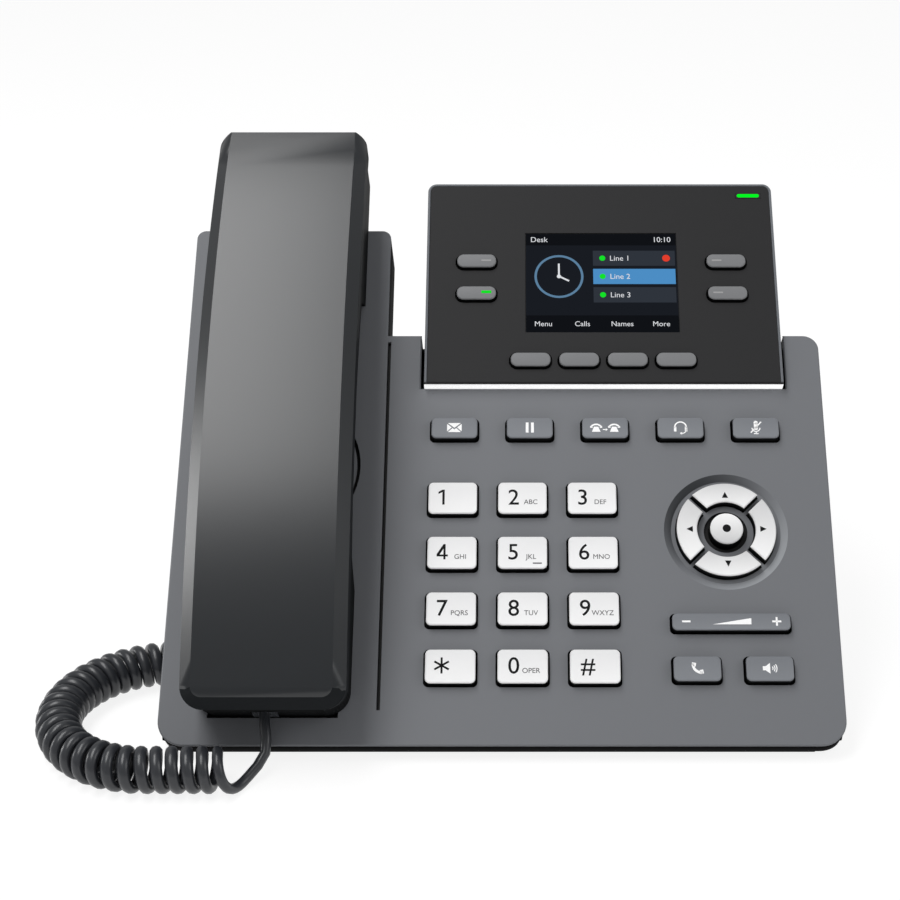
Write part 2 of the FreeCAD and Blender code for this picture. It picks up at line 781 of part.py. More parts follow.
# Display: housing, fascia, screen with its board, accent strip and message lamp
def make_display():
    middle = "(display_bottom + display_top) / 2"
    span = "display_top - display_bottom"
    def framed(inset):
        return ["display_centre", middle, f"display_width - 2 * ({inset})", f"{span} - 2 * ({inset})"]
    def topped(inset):
        """Round at the upper corners, and down to the display's lower edge."""
        inset = f"({inset})"
        left = f"(display_centre - display_width / 2 + {inset})"
        right = f"(display_centre + display_width / 2 - {inset})"
        top, corner = f"(display_top - {inset})", f"display_corner - {inset}"
        return [[(left, "display_bottom"), (right, "display_bottom"),
                 (right, top, corner), (left, top, corner)]]
    board_inset = "rim + fascia_ledge"
    body = new_body("display_housing")
    blocks(body, "case", "-display_back", "display_face", [topped("0")])
    holes(body, "fascia_seat", "display_face", "fascia", [topped("rim")])
    holes(body, "board_seat", "fascia_back", "fascia_back - screen_board + board", [framed(board_inset)])
    holes(body, "cavity", "screen_board - board", "screen_board - board + display_back - wall",
          [framed(f"{board_inset} + board_ledge")])

    body = new_body("display_fascia")
    blocks(body, "plate", "fascia_back", "display_face", [topped("rim + press_gap")])
    windows = [("display_centre", "screen_y", "screen_width", "screen_height"),
               ("lamp_x", "lamp_y", "lamp_width + 2 * press_gap", "lamp_height + 2 * press_gap")]
    windows += [(x, y, "pill_width + 2 * key_gap", "pill_height + 2 * key_gap", "pill_corner + key_gap")
                for name, x, y in display_keys()]
    holes(body, "windows", "display_face", "fascia", windows)

    body = new_body("screen_module")
    blocks(body, "board", "screen_board - board", "screen_board", [framed(f"{board_inset} + seat_gap")])
    blocks(body, "panel", "screen_board", "fascia_back",
           [("display_centre", "screen_y", "screen_width + 2 * screen_border",
             "screen_height + 2 * screen_border")])
    blocks(body, "glass", "fascia_back", "display_face - screen_recess",
           [("display_centre", "screen_y", "screen_width - 2 * press_gap", "screen_height - 2 * press_gap")])

    body = new_body("accent_strip")
    blocks(body, "bar", "-panel", "display_face - screen_recess",
           [("display_centre", "display_bottom - strip / 2", "display_width", "strip")])

    body = new_body("message_lamp")
    blocks(body, "bar", "screen_board", "display_face + press_gap",
           [("lamp_x", "lamp_y", "lamp_width", "lamp_height")])


# Keys: a cap in its hole over a flange under the panel
def make_key(name, x, y, width, height, corner, rise, panel_top="0", panel_back="-panel"):
    body = new_body(name)
    blocks(body, "flange", f"({panel_back}) - key_flange", panel_back,
           [(x, y, f"{width} + 2 * key_lip", f"{height} + 2 * key_lip")])
    top = f"{panel_top} + {rise}"
    blocks(body, "cap", panel_back, top, [(x, y, width, height, corner)])
    dress(body, "Chamfer", "key_bevel", level_at(top))


def make_keys():
    for key in deck_keys():
        make_key(*key)
    for name, x, y in display_keys():
        make_key(name, x, y, "pill_width", "pill_height", "pill_corner", "pill_rise", "display_face",
                 "fascia_back")
    for name, turn in NAV_SECTORS:
        body = new_body(f"nav_key_{name}")
        sketch = sketch_on(body, "sector", "right_centre", "nav_y", "-key_root", turn=turn)
        ring_sector(sketch, "nav_inner", "nav_outer", "nav_spoke")
        pad(body, sketch, "key_root + nav_rise")
        dress(body, "Chamfer", "key_bevel", level_at("nav_rise"))
    body = new_body("nav_key_ok")
    blocks(body, "flange", "-key_root", "-panel", [("right_centre", "nav_y", "nav_button + key_lip")])
    blocks(body, "button", "-panel", "key_rise", [("right_centre", "nav_y", "nav_button")])
    dress(body, "Chamfer", "key_bevel", level_at("key_rise"))
    name, *shape, rise = VOLUME_KEY
    body = new_body(name)
    blocks(body, "rocker", "-panel", rise, [shape])
    dress(body, "Chamfer", "key_bevel", level_at(rise))


# Key mat with a contact pad under each key and a ridge that the volume key rocks on
def make_key_mat():
    body = new_body("key_mat")
    left, right = "(board_left + mat_margin)", "(board_right - mat_margin)"
    low, high = "(board_low + mat_margin)", "(board_high - mat_margin)"
    base = "-mat_top - contact_height"
    blocks(body, "sheet", f"{base} - mat_base", base,
           [(f"({left} + {right}) / 2", f"({low} + {high}) / 2", f"{right} - {left}", f"{high} - {low}")])
    reach = "(nav_inner + nav_outer) / 2"
    places = [(x, y) for name, x, y, *rest in deck_keys()] + [("right_centre", "nav_y")]
    places += [(f"right_centre + {across} * {reach}", f"nav_y + {along} * {reach}")
               for across, along in ((1, 0), (0, 1), (-1, 0), (0, -1))]
    blocks(body, "contacts", base, "-mat_top", [(x, y, "contact_side", "contact_side") for x, y in places])
    blocks(body, "rocker_ridge", base, "-panel - seat_gap",
           [("right_centre", "volume_y", "ridge_width", "volume_height")])


# Boards, jacks, loudspeaker, hook switch and cradle tab
def make_electronics():
    body = new_body("main_board")
    blocks(body, "board", "-board_back", "-board_top",
           [("(board_left + board_right) / 2", "(board_low + board_high) / 2", "board_right - board_left",
             "board_high - board_low")])

    body = new_body("network_jacks")
    blocks(body, "shell", "-depth", "-board_back",
           [("network_jack_x", "jack_y", "network_jack_width", "network_jack_height")])
    holes(body, "sockets", "-depth", "socket_depth",
          [(f"network_jack_x + {side} * network_pitch / 2", "jack_y", "network_socket_width",
            "network_socket_height") for side in (-1, 1)], upwards=True)

    body = new_body("audio_jacks")
    blocks(body, "shells", "-depth", "-board_back", [(x, "jack_y", "audio_jack_side", "audio_jack_side")
                                                     for x in AUDIO_JACKS])
    holes(body, "sockets", "-depth", "socket_depth",
          [(x, "jack_y", "plug_width + 2 * plug_gap", "plug_height + 2 * plug_gap") for x in AUDIO_JACKS],
          upwards=True)

    body = new_body("power_jack")
    blocks(body, "shell", "-depth", "-board_back",
           [("power_jack_x", "jack_y", "power_jack_side", "power_jack_side")])
    holes(body, "socket", "-depth", "socket_depth",
          [("power_jack_x", "jack_y", "power_bore"), ("power_jack_x", "jack_y", "power_pin")], upwards=True)

    body = new_body("loudspeaker")
    sketch = sketch_on(body, "cone_side", "speaker_x", "0", "-speaker_y", role="XZ_Plane")
    outline(sketch, [("0", "-panel"), ("speaker_radius", "-panel"),
                     ("speaker_radius", "-panel - speaker_rim"),
                     ("magnet_radius", "-panel - speaker_depth / 2"),
                     ("magnet_radius", "-panel - speaker_depth"),
                     ("0", "-panel - speaker_depth")])
    turn_up(body, sketch)

    body = new_body("hook_switch")
    plunger_low = "-cup_depth - wall - hook_rise - seat_gap"
    blocks(body, "flange", f"{plunger_low} - hook_lip", plunger_low,
           [("handset_x", "hook_y", "hook_width + 2 * hook_lip", "hook_height + 2 * hook_lip")])
    blocks(body, "plunger", plunger_low, "-cup_depth",
           [("handset_x", "hook_y", "hook_width", "hook_height")])

    body = new_body("cradle_tab")
    blocks(body, "tab", "-tab_length", "-panel_edge",
           [("handset_x", TAB_Y, "tab_width - 2 * press_gap", "tab_thickness - 2 * press_gap")])


# Edges of the handset's ends, which run from its face to its underside
def end_corner(low, high):
    """A test for steep edges between two places along the handset."""
    def chosen(edge):
        box = edge.BoundBox
        return box.XLength < 1e-4 and box.ZLength > value("shell") and (
            value(low) - 1e-3 < box.YMin and box.YMax < value(high) + 1e-3)
    return chosen


def round_top_corners(body, width):
    """Round the handset's two upper corners, seen from above."""
    sketch = sketch_on(body, "top_corners", z="0")
    radius, beyond = "handset_top_corner", "(handset_high + shell)"
    nook = f"{1 - math.sqrt(0.5)} * {radius}"
    for side in (-1, 1):
        edge, inner = f"(handset_x + {side} * ({width}) / 2)", f"{side} * {radius}"
        outside = f"({edge} + {side} * shell)"
        start = (edge, f"handset_high - {radius}")
        outline(sketch, [start, (f"{edge} - {inner}", "handset_high"), (f"{edge} - {inner}", beyond),
                         (outside, beyond), (outside, start[1])],
                {0: (f"{edge} - {side} * {nook}", f"handset_high - {nook}")})
    pocket(body, sketch, "handset_crown", upwards=True)


# Handset: an upper shell with bevelled sides over a lower shell with the ear and mouth blocks
def make_handset():
    low_end, high_end = ("handset_low", "handset_end_low"), ("handset_high", "handset_end_high")
    parting_low = ("handset_low + end_draft", "handset_end_low - face_depth")
    crown = ("handset_middle", "handset_crown")
    def down(point, drop):
        return point[0], f"{point[1]} - {drop}"
    body = new_body("handset_upper_shell")
    side = sketch_on(body, "side", z="handset_x", role="YZ_Plane")
    outline(side, [low_end, high_end, down(high_end, "face_depth"), parting_low],
            {0: crown, 2: down(crown, "face_depth")})
    pad(body, side, "handset_width", both_ways=True)
    dress(body, "Fillet", "handset_corner", end_corner("handset_low", "handset_low + end_draft"))
    foot, top = value("handset_end_low") - 1e-3, value("handset_high") - 1e-3
    def face_edge(edge):
        box = edge.BoundBox
        return box.ZMin > foot and box.YMin < top
    dress(body, "Chamfer", "bevel_side", face_edge, "bevel_drop")
    round_top_corners(body, "handset_width")
    inside = sketch_on(body, "inside", z="handset_x", role="YZ_Plane")
    inner_low = ("handset_low + bevel_side + shell", "handset_end_low - shell")
    inner_high = ("handset_high - shell", "handset_end_high - shell")
    outline(inside, [inner_low, inner_high, down(inner_high, "face_depth"), down(inner_low, "face_depth")],
            {0: down(crown, "shell"), 2: down(crown, "(face_depth + shell)")})
    pocket(body, inside, "handset_width - 2 * (bevel_side + shell)", both_ways=True)

    body = new_body("handset_lower_shell")
    side = sketch_on(body, "side", z="handset_x", role="YZ_Plane")
    floor = "-block_floor"
    outline(side, [parting_low, down(high_end, "face_depth"), ("handset_high - block_bevel", floor),
                   ("ear_block", floor), ("ear_block - block_slope", "arch_foot"),
                   ("mouth_block + block_slope", "arch_foot"), ("mouth_block", floor),
                   ("mouth_foot + block_bevel", floor), ("mouth_foot", "0")],
            {0: down(crown, "face_depth"), 4: ("handset_middle", "arch_crown")})
    pad(body, side, "handset_width - 2 * handset_step", both_ways=True)
    dress(body, "Fillet", "handset_corner", end_corner("handset_low", "mouth_foot"))
    round_top_corners(body, "handset_width - 2 * handset_step")
    trim = "(handset_step + block_inset)"
    holes(body, "block_sides", "block_shoulder", "block_shoulder + block_floor",
          [(f"handset_x + {side} * (block_width + {trim}) / 2", "handset_middle", trim,
            "handset_high - handset_low") for side in (-1, 1)])
    mouth_near, mouth_far = "(mouth_foot + block_bevel + shell)", "(mouth_block - shell)"
    ear_near, ear_far = "(ear_block + shell)", "(handset_high - block_bevel - 2 * shell)"
    holes(body, "cavities", "shell - block_floor", "handset_crown",
          [("handset_x", f"({near} + {far}) / 2", "block_width - 2 * shell", f"{far} - {near}")
           for near, far in ((mouth_near, mouth_far), (ear_near, ear_far))], upwards=True)
    rows = (-1, 0, 1)
    holes(body, "sound_slots", "-block_floor", "shell",
          [("handset_x", f"{centre} + {row} * sound_pitch", f"{length}", "sound_slot")
           for centre, length in (("receiver_y", "ear_slot_length"), ("microphone_y", "mouth_slot_length"))
           for row in rows], upwards=True)
    sketch = sketch_on(body, "plug_socket", z="-handset_low", role="XZ_Plane")
    rectangle(sketch, "handset_plug_x", "plug_level", "plug_width + 2 * plug_gap",
              "plug_height + 2 * plug_gap")
    pocket(body, sketch, "handset_plug_end + plug_length - handset_low")

    body = new_body("earpiece_receiver")
    blocks(body, "capsule", "shell - block_floor", "shell - block_floor + receiver_height",
           [("handset_x", "receiver_y", "receiver_radius")])
    body = new_body("handset_microphone")
    blocks(body, "capsule", "shell - block_floor", "shell - block_floor + microphone_height",
           [("handset_x", "microphone_y", "microphone_radius")])
    body = new_body("handset_plug")
    sketch = sketch_on(body, "plug", z="-handset_plug_end", role="XZ_Plane")
    rectangle(sketch, "handset_plug_x", "plug_level", "plug_width", "plug_height")
    pad(body, sketch, "plug_length").Reversed = True

    body = new_body("base_plug")
    blocks(body, "plug", "-depth - plug_show", "-depth - plug_show + plug_length",
           [("audio_jack_x", "jack_y", "plug_width", "plug_height")])


# Screws, feet and stand
def make_fasteners():
    body = new_body("housing_screws")
    seat = "screw_head_height - depth"
    blocks(body, "heads", "-depth", seat, [(x, y, "screw_head") for x, y in SCREWS])
    blocks(body, "shanks", seat, "screw_length + wall - depth - seat_gap",
           [(x, y, "screw_radius") for x, y in SCREWS])


def make_stand():
    body = new_body("stand", stand_on_desk)
    def on_back(along):
        return (f"{along} * cos(tilt) + depth * sin(tilt)",
                f"deck_height + {along} * sin(tilt) - depth * cos(tilt)")
    low, high = on_back("stand_low"), on_back("stand_high")
    side = sketch_on(body, "side", role="YZ_Plane")
    outline(side, [low, high, ("stand_heel", "foot_height"), ("stand_toe", "foot_height")])
    pad(body, side, "stand_width", both_ways=True)
    hollow = sketch_on(body, "hollow", role="YZ_Plane")
    inner = on_back("(stand_high - stand_wall)")
    outline(hollow, [on_back("(stand_low - stand_wall)"), inner, ("stand_heel - stand_wall", "foot_height"),
                     ("stand_toe - stand_wall", "foot_height")])
    pocket(body, hollow, "stand_width - 2 * stand_wall", both_ways=True)
    plate = ("foot_width + 2 * stand_wall", "stand_heel - stand_toe - 2 * plate_inset")
    blocks(body, "foot_plates", "foot_height", "foot_height + stand_wall",
           [(f"{side} * stand_foot_x", "(stand_toe + stand_heel) / 2", *plate) for side in (-1, 1)])
    window = sketch_on(body, "cable_window", z="-stand_heel - stand_wall", role="XZ_Plane")
    rectangle(window, "0", "foot_height + stand_window_height / 2", "stand_window", "stand_window_height")
    pocket(body, window, "stand_heel", upwards=True)


def make_feet():
    body = new_body("rubber_feet", stand_on_desk)
    places = [("foot_x", "foot_y"), ("stand_foot_x", "(stand_toe + stand_heel) / 2")]
    blocks(body, "feet", "0", "foot_height",
           [(f"{side} * {x}", y, "foot_width", "foot_depth") for x, y in places for side in (-1, 1)])


# Cords
def on_desk(x, along, out):
    """A point of the deck, x across, along it and out of it, in the desk's directions."""
    lean_angle = math.radians(value("tilt"))
    return Vector(x, along * math.cos(lean_angle) - out * math.sin(lean_angle),
                  value("deck_height") + along * math.sin(lean_angle) + out * math.cos(lean_angle))


def section_at(point, heading, sides=6):
    """The cord's six-sided section, square to its heading."""
    across = heading.cross(Vector(0.3, 0.5, 0.8)).normalize()
    other = heading.cross(across).normalize()
    radius = value("cord") / 2
    turns = [2 * math.pi * number / sides for number in range(sides)]
    corners = [point + (across * math.cos(turn) + other * math.sin(turn)) * radius for turn in turns]
    return Part.makePolygon(corners + corners[:1])


def straight_run(start, end):
    return Part.LineSegment(start, end).toShape()


def tube(name, edges):
    """A node of one closed tube along edges that run on smoothly, its volume compared with its length."""
    path = Part.Wire(edges)
    start = path.OrderedEdges[0]
    section = section_at(start.valueAt(start.FirstParameter), start.tangentAt(start.FirstParameter))
    cord = doc.addObject("Part::Feature", name)
    cord.Label = name
    cord.Shape = path.makePipeShell([section], True, False)
    stand_on_desk(cord)
    share = cord.Shape.Volume / Part.Face(section).Area / path.Length
    print(f"{name}: length {path.Length:.1f}, volume over section times length {share:.4f}")


def rounded_route(points):
    """Straight runs joined by the largest arcs that 0.45 of the shorter run allows."""
    edges, here, radii = [], points[0], []
    for before, corner, after in zip(points, points[1:], points[2:]):
        into, out = (corner - before).normalize(), (after - corner).normalize()
        half = into.getAngle(out) / 2
        cut = 0.45 * min(before.distanceToPoint(corner), after.distanceToPoint(corner))
        radii.append(cut / math.tan(half))
        start, end = corner - into * cut, corner + out * cut
        weight = math.cos(half)
        crown = (start + end + corner * (2 * weight)) * (1 / (2 + 2 * weight))
        edges += [straight_run(here, start), Part.Arc(start, crown, end).toShape()]
        here = end
    edges.append(straight_run(here, points[-1]))
    print("bend radii", [round(radius, 1) for radius in radii])
    return edges


def biarc(start, heading, end, end_heading):
    """Two arcs that leave start along heading and reach end along end_heading."""
    chord, both = end - start, heading + end_heading
    spread = 2 * (1 - heading.dot(end_heading))
    along = chord.dot(both)
    reach = (math.sqrt(along * along + spread * chord.dot(chord)) - along) / spread
    middle = (start + end + (heading - end_heading) * reach) * 0.5
    arcs = []
    for first, corner, last in ((start, start + heading * reach, middle),
                                (middle, end - end_heading * reach, end)):
        weight = first.distanceToPoint(last) / (2 * reach)
        crown = (first + last + corner * (2 * weight)) * (1 / (2 + 2 * weight))
        arcs.append(Part.Arc(first, crown, last).toShape())
    return arcs


def coil_axis(run):
    """The coil's middle line on the desk: left along the front, round a half circle, right again."""
    bend, front = value("coil_bend"), value("coil_front_y")
    start, turn_x = value("coil_start_x"), value("coil_bend_x")
    first, half_circle = start - turn_x, math.pi * bend
    level = value("coil_outer") / 2
    if run < first:
        return Vector(start - run, front, level), Vector(0, -1, 0)
    if run < first + half_circle:
        angle = (run - first) / bend
        outward = Vector(-math.sin(angle), -math.cos(angle), 0)
        return Vector(turn_x, front + bend, level) + outward * bend, outward
    return Vector(turn_x + run - first - half_circle, front + 2 * bend, level), Vector(0, 1, 0)


def coil_point(turn):
    """The wire's middle after a turn angle counted from the bottom of the first curl. That curl opens
    out to the right, towards the handset."""
    run = value("coil_pitch") * turn / (2 * math.pi)
    still_open = value("coil_open_until") * math.pi / 180 - turn
    if still_open > 0:
        run -= value("coil_opening") * still_open ** 2
    middle, outward = coil_axis(run)
    radius = (value("coil_outer") - value("cord")) / 2
    return middle + (outward * math.sin(turn) - Vector(0, 0, 1) * math.cos(turn)) * radius


def coil_heading(turn, step=1e-4):
    return (coil_point(turn + step) - coil_point(turn - step)).normalize()


def coil_edges(turns):
    edges = []
    for here, after in zip(turns, turns[1:]):
        edges += biarc(coil_point(here), coil_heading(here), coil_point(after), coil_heading(after))
    return edges


def least_gap(begin, finish, steps=36):
    """The least distance between neighbouring curls, less the cord's own thickness."""
    count = int((finish - begin) / (2 * math.pi) * steps)
    points = [coil_point(begin + (finish - begin) * number / count) for number in range(count + 1)]
    nearest = min(points[number].distanceToPoint(points[other])
                  for number in range(count + 1)
                  for other in range(number + steps // 2, min(number + 2 * steps, count + 1)))
    return nearest - value("cord")


# The tail's points: the share of the way across from the coil's end to its jack, then back and up
TAIL_POINTS = [(0.105, 15.3, 1.3), (0.27, 19.3, 3.1), (0.5, 21.2, 5.2), (0.87, 22.5, 9.9),
               (0.965, 22.5, 18.6)]


def make_cord():
    """A lead from the handset's plug, the curls, and a tail to the base's plug, end to end."""
    begin = value("coil_begin") * math.pi / 180
    finish = value("coil_turns") * 2 * math.pi
    halves = round((finish - begin) / math.pi)
    turns = [begin + (finish - begin) * number / halves for number in range(halves + 1)]
    first, last = coil_point(begin), coil_point(finish)
    handset_end = on_desk(value("handset_plug_x"), value("handset_plug_end"), value("plug_level"))
    jack_end = on_desk(value("audio_jack_x"), value("jack_y"), value("-depth - plug_show"))
    straight = value("cord_straight")
    lead_corner = on_desk(value("handset_plug_x"), value("handset_plug_end - lead_run"), value("plug_level"))
    coil_in = first - coil_heading(begin) * value("cord")
    coil_out = last + coil_heading(finish) * value("cord")
    lead = [handset_end, lead_corner, coil_in - coil_heading(begin) * value("lead_straight"), coil_in]
    tail = [coil_out, coil_out + coil_heading(finish) * straight]
    tail += [last + Vector(share * (jack_end.x - last.x), back, up) for share, back, up in TAIL_POINTS]
    below_jack = value("-depth - plug_show - jack_straight")
    tail += [on_desk(value("audio_jack_x"), value("jack_y"), below_jack), jack_end]
    tube("handset_cord_lead", rounded_route(lead))
    curls = [straight_run(coil_in, first), *coil_edges(turns), straight_run(last, coil_out)]
    tube("handset_cord_coil", curls)
    tube("handset_cord_tail", rounded_route(tail))
    print("least gap between curls", round(least_gap(begin, finish), 2))


# Build, centre on the desk, check and write
def nodes():
    return [piece for piece in doc.Objects if piece.TypeId in ("PartDesign::Body", "Part::Feature")
            and piece.getParentGeoFeatureGroup() is None]


def centre_frame():
    """Put the frame's origin under the middle of the telephone, cords left out."""
    boxes = [piece.Shape.optimalBoundingBox(False) for piece in nodes()
             if not piece.Label.startswith("handset_cord")]
    middle = (min(box.YMin for box in boxes) + max(box.YMax for box in boxes)) / 2
    frame.set("B1", str(round(-middle, 4)))
    doc.recompute()


def check_and_write():
    failed = [piece.Name for piece in doc.Objects if {"Invalid", "Error"} & set(piece.State)]
    if failed:
        raise ValueError(f"not built: {failed}")
    for piece in nodes():
        if piece.Shape.isNull() or not piece.Shape.isValid() or not piece.Shape.Solids:
            raise ValueError(f"{piece.Label} has no valid solid")
    os.makedirs("parts", exist_ok=True)
    for piece in nodes():
        piece.Shape.exportStep(f"parts/{piece.Label}.step")
    print(len(nodes()), "nodes, frame shift", frame.frame_shift)


make_front_housing()
make_rear_housing()
make_display()
make_keys()
make_key_mat()
make_electronics()
make_handset()
make_fasteners()
make_stand()
make_feet()
doc.recompute()
make_cord()
doc.recompute()
centre_frame()
check_and_write()
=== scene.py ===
# %% [markdown]
# # A desk telephone
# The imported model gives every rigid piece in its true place, in metres: X to the right, Y away from
# the user, Z up from the desk. This lesson dresses that model: it gives each piece its plastic, rounds
# the moulded edges, prints the legends on the keys, lights the screen and lays the curly cord.

# %% Load the frame
import json
import math
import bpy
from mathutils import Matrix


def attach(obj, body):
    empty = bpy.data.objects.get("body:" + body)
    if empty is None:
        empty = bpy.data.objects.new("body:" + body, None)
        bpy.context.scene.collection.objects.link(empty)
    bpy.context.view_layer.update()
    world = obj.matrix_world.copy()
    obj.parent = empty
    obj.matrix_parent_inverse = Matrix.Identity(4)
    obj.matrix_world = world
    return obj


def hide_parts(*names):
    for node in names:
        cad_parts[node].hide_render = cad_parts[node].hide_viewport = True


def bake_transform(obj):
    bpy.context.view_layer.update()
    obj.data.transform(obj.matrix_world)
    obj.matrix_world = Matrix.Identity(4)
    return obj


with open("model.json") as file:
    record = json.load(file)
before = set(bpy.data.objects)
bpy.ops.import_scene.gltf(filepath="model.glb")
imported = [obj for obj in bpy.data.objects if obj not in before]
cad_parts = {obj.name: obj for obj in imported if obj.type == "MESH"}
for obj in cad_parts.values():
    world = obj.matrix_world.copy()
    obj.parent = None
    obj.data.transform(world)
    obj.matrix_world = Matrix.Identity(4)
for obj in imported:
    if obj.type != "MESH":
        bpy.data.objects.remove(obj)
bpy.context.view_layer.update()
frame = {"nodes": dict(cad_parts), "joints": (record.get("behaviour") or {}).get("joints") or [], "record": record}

from fnmatch import fnmatchcase

import bmesh
import bpy
from mathutils import Matrix, Vector

nodes = frame["nodes"]
scene = bpy.context.scene
print(len(nodes), "pieces in the frame")

# %% [markdown]
# ## The leaning deck
# The key deck leans back over the desk. Legends, screen and lamps are easiest to draw flat on the deck,
# in millimetres, so one matrix carries deck places (x across, y up the deck, z out of it) to the desk.
# Its lean and place could be typed in again, but they are read from the model, so that they can't differ
# from it: a dial key is pressed straight into the deck, and the front housing reaches from the deck's
# front edge up to its level.

# %% The deck's own directions
MM = 0.001
press = next(Vector(joint["axis"]) for joint in frame["joints"] if joint["name"] == "dial_key_5_press")
lean = math.atan2(press.y, -press.z)
tilt = Matrix.Rotation(lean, 3, "X")
up_the_deck, out_of_deck = tilt @ Vector((0, 1, 0)), tilt @ Vector((0, 0, 1))
housing = [vertex.co for vertex in nodes["front_housing"].data.vertices]
front_edge = (up_the_deck * min(place.dot(up_the_deck) for place in housing)
              + out_of_deck * max(place.dot(out_of_deck) for place in housing))
DECK = Matrix.Translation(front_edge) @ tilt.to_4x4() @ Matrix.Scale(MM, 4)
DESK = Matrix.Translation((0, front_edge.y, 0)) @ Matrix.Scale(MM, 4)
print(f"the deck leans back by {math.degrees(lean):.1f} degrees from y = {front_edge.y:.4f} m")

# %% [markdown]
# ## The camera
# The photograph was taken from the front and a little above, with a long lens. Its picture is not
# centred on the optical axis, so the camera is shifted sideways instead of turned, which keeps the
# telephone's upright lines as they are in the photograph. The place is in millimetres from the middle
# of the deck's front edge.

# %% Camera
CAMERA_PLACE, LOOKS_DOWN = Vector((4.04, -471.4, 299.9)), 22.748
LENS, SENSOR, SHIFT = 73.145, 36, -0.0728
camera = bpy.data.objects.new("camera", bpy.data.cameras.new("camera"))
scene.collection.objects.link(camera)
camera.location = DESK @ CAMERA_PLACE
camera.rotation_euler = (math.radians(90 - LOOKS_DOWN), 0, 0)
camera.data.sensor_width = SENSOR
camera.data.lens = LENS
camera.data.shift_x = SHIFT
camera.data.clip_start = 0.01
scene.camera = camera
print("camera at", [round(part, 3) for part in camera.location])

# %% [markdown]
# ## The curly cord
# The cord is one long tube: a short lead from the handset's plug, the curls lying on the desk, and a
# tail under the base. A NURBS spline runs near its control points and is smooth without any work, so
# the whole cord is one such spline. The curls are more of its points: a helix about a line that runs
# left along the desk, round a half circle and back.

# %% The line inside the curls
CORD = 3.2
CURL_OUTER, CURL_PITCH, CURL_TURNS = 14.3, 4.5, 31
BEND_RADIUS, BEND_X, FRONT_Y, START_X = 31.7, -104.2, -14.9, -80.5


def middle_line(run):
    """The curls' middle line on the desk after a run, and the direction out of its bend."""
    level = CURL_OUTER / 2
    first, half_circle = START_X - BEND_X, math.pi * BEND_RADIUS
    if run < first:
        return Vector((START_X - run, FRONT_Y, level)), Vector((0, -1, 0))
    if run < first + half_circle:
        angle = (run - first) / BEND_RADIUS
        outward = Vector((-math.sin(angle), -math.cos(angle), 0))
        return Vector((BEND_X, FRONT_Y + BEND_RADIUS, level)) + outward * BEND_RADIUS, outward
    return Vector((BEND_X + run - first - half_circle, FRONT_Y + 2 * BEND_RADIUS, level)), Vector((0, 1, 0))


print(f"a coil of {CURL_TURNS} curls, {CURL_TURNS * CURL_PITCH:.0f} mm long")

# %% [markdown]
# The first curl is pulled open by the lead: its pitch grows towards the handset. The tail leaves the last
# curl straight, climbs behind the base and turns up into the jack. A spline of this order passes inside
# its points, so the helix is made a little wider than the curls.

# %% The cord's route
FIRST_TURN, OPENING, OPEN_UNTIL = math.radians(-30), 0.5, math.radians(149)
POINTS_PER_TURN = 12
PLUG_END, LEAD_CORNER, LEAD_STRAIGHT = Vector((-71, 8.5, 5)), Vector((-71, 4.5, 5)), 7
JACK_BELOW, JACK_END, TAIL_STRAIGHT = Vector((-30, 64, -31.55)), Vector((-30, 64, -24.5)), 7.05
# A tail point's share of the way across to the jack, and its places back from the last curl and up
TAIL = ((0.105, 15.3, 1.3), (0.27, 19.3, 3.1), (0.5, 21.2, 5.2), (0.87, 22.5, 9.9), (0.965, 22.5, 18.6))


def curl_point(turn, radius):
    run = CURL_PITCH * turn / (2 * math.pi)
    if turn < OPEN_UNTIL:
        run -= OPENING * (OPEN_UNTIL - turn) ** 2
    middle, outward = middle_line(run)
    return middle + (outward * math.sin(turn) - Vector((0, 0, 1)) * math.cos(turn)) * radius


def heading(turn, radius, step=1e-4):
    return (curl_point(turn + step, radius) - curl_point(turn - step, radius)).normalized()


def cord_route():
    """The spline's control points in desk millimetres."""
    to_desk = DESK.inverted() @ DECK
    curl = (CURL_OUTER - CORD) / 2
    wide = curl / ((1 + math.cos(math.pi / POINTS_PER_TURN)) / 2)
    last_turn = CURL_TURNS * 2 * math.pi
    count = round((last_turn - FIRST_TURN) / (2 * math.pi) * POINTS_PER_TURN)
    turns = [FIRST_TURN + (last_turn - FIRST_TURN) * number / count for number in range(count + 1)]
    first, last = curl_point(FIRST_TURN, curl), curl_point(last_turn, curl)
    lead_end = first - heading(FIRST_TURN, curl) * (CORD + LEAD_STRAIGHT)
    lead = [to_desk @ PLUG_END, to_desk @ LEAD_CORNER, lead_end]
    across = (to_desk @ JACK_END).x - last.x
    tail = [last + heading(last_turn, curl) * TAIL_STRAIGHT]
    tail += [last + Vector((share * across, back, up)) for share, back, up in TAIL]
    tail += [to_desk @ JACK_BELOW, to_desk @ JACK_END]
    return lead + [curl_point(turn, wide) for turn in turns] + tail


route = cord_route()
print(len(route), "points on the cord's route")

# %% [markdown]
# A curve with a bevel depth is a round tube along its spline. The spline is first turned into a mesh
# without the bevel, which gives the line of points along the cord's middle, and then once more with it. A
# mesh is wanted because the curls are shaped a little further.


# %% The cord's tube
def smooth_line(name, points):
    """A NURBS spline with control points given in desk millimetres, as a curve object."""
    curve = bpy.data.curves.new(name, "CURVE")
    curve.dimensions = "3D"
    spline = curve.splines.new("NURBS")
    spline.points.add(len(points) - 1)
    for control, point in zip(spline.points, points):
        control.co = (*(DESK @ point), 1)
    spline.order_u = 3
    spline.use_endpoint_u = True
    spline.resolution_u = 2
    line = bpy.data.objects.new(name, curve)
    scene.collection.objects.link(line)
    return line


def evaluated_mesh(thing):
    """The mesh that an object has with its bevel, text or modifiers."""
    return bpy.data.meshes.new_from_object(thing.evaluated_get(bpy.context.evaluated_depsgraph_get()))


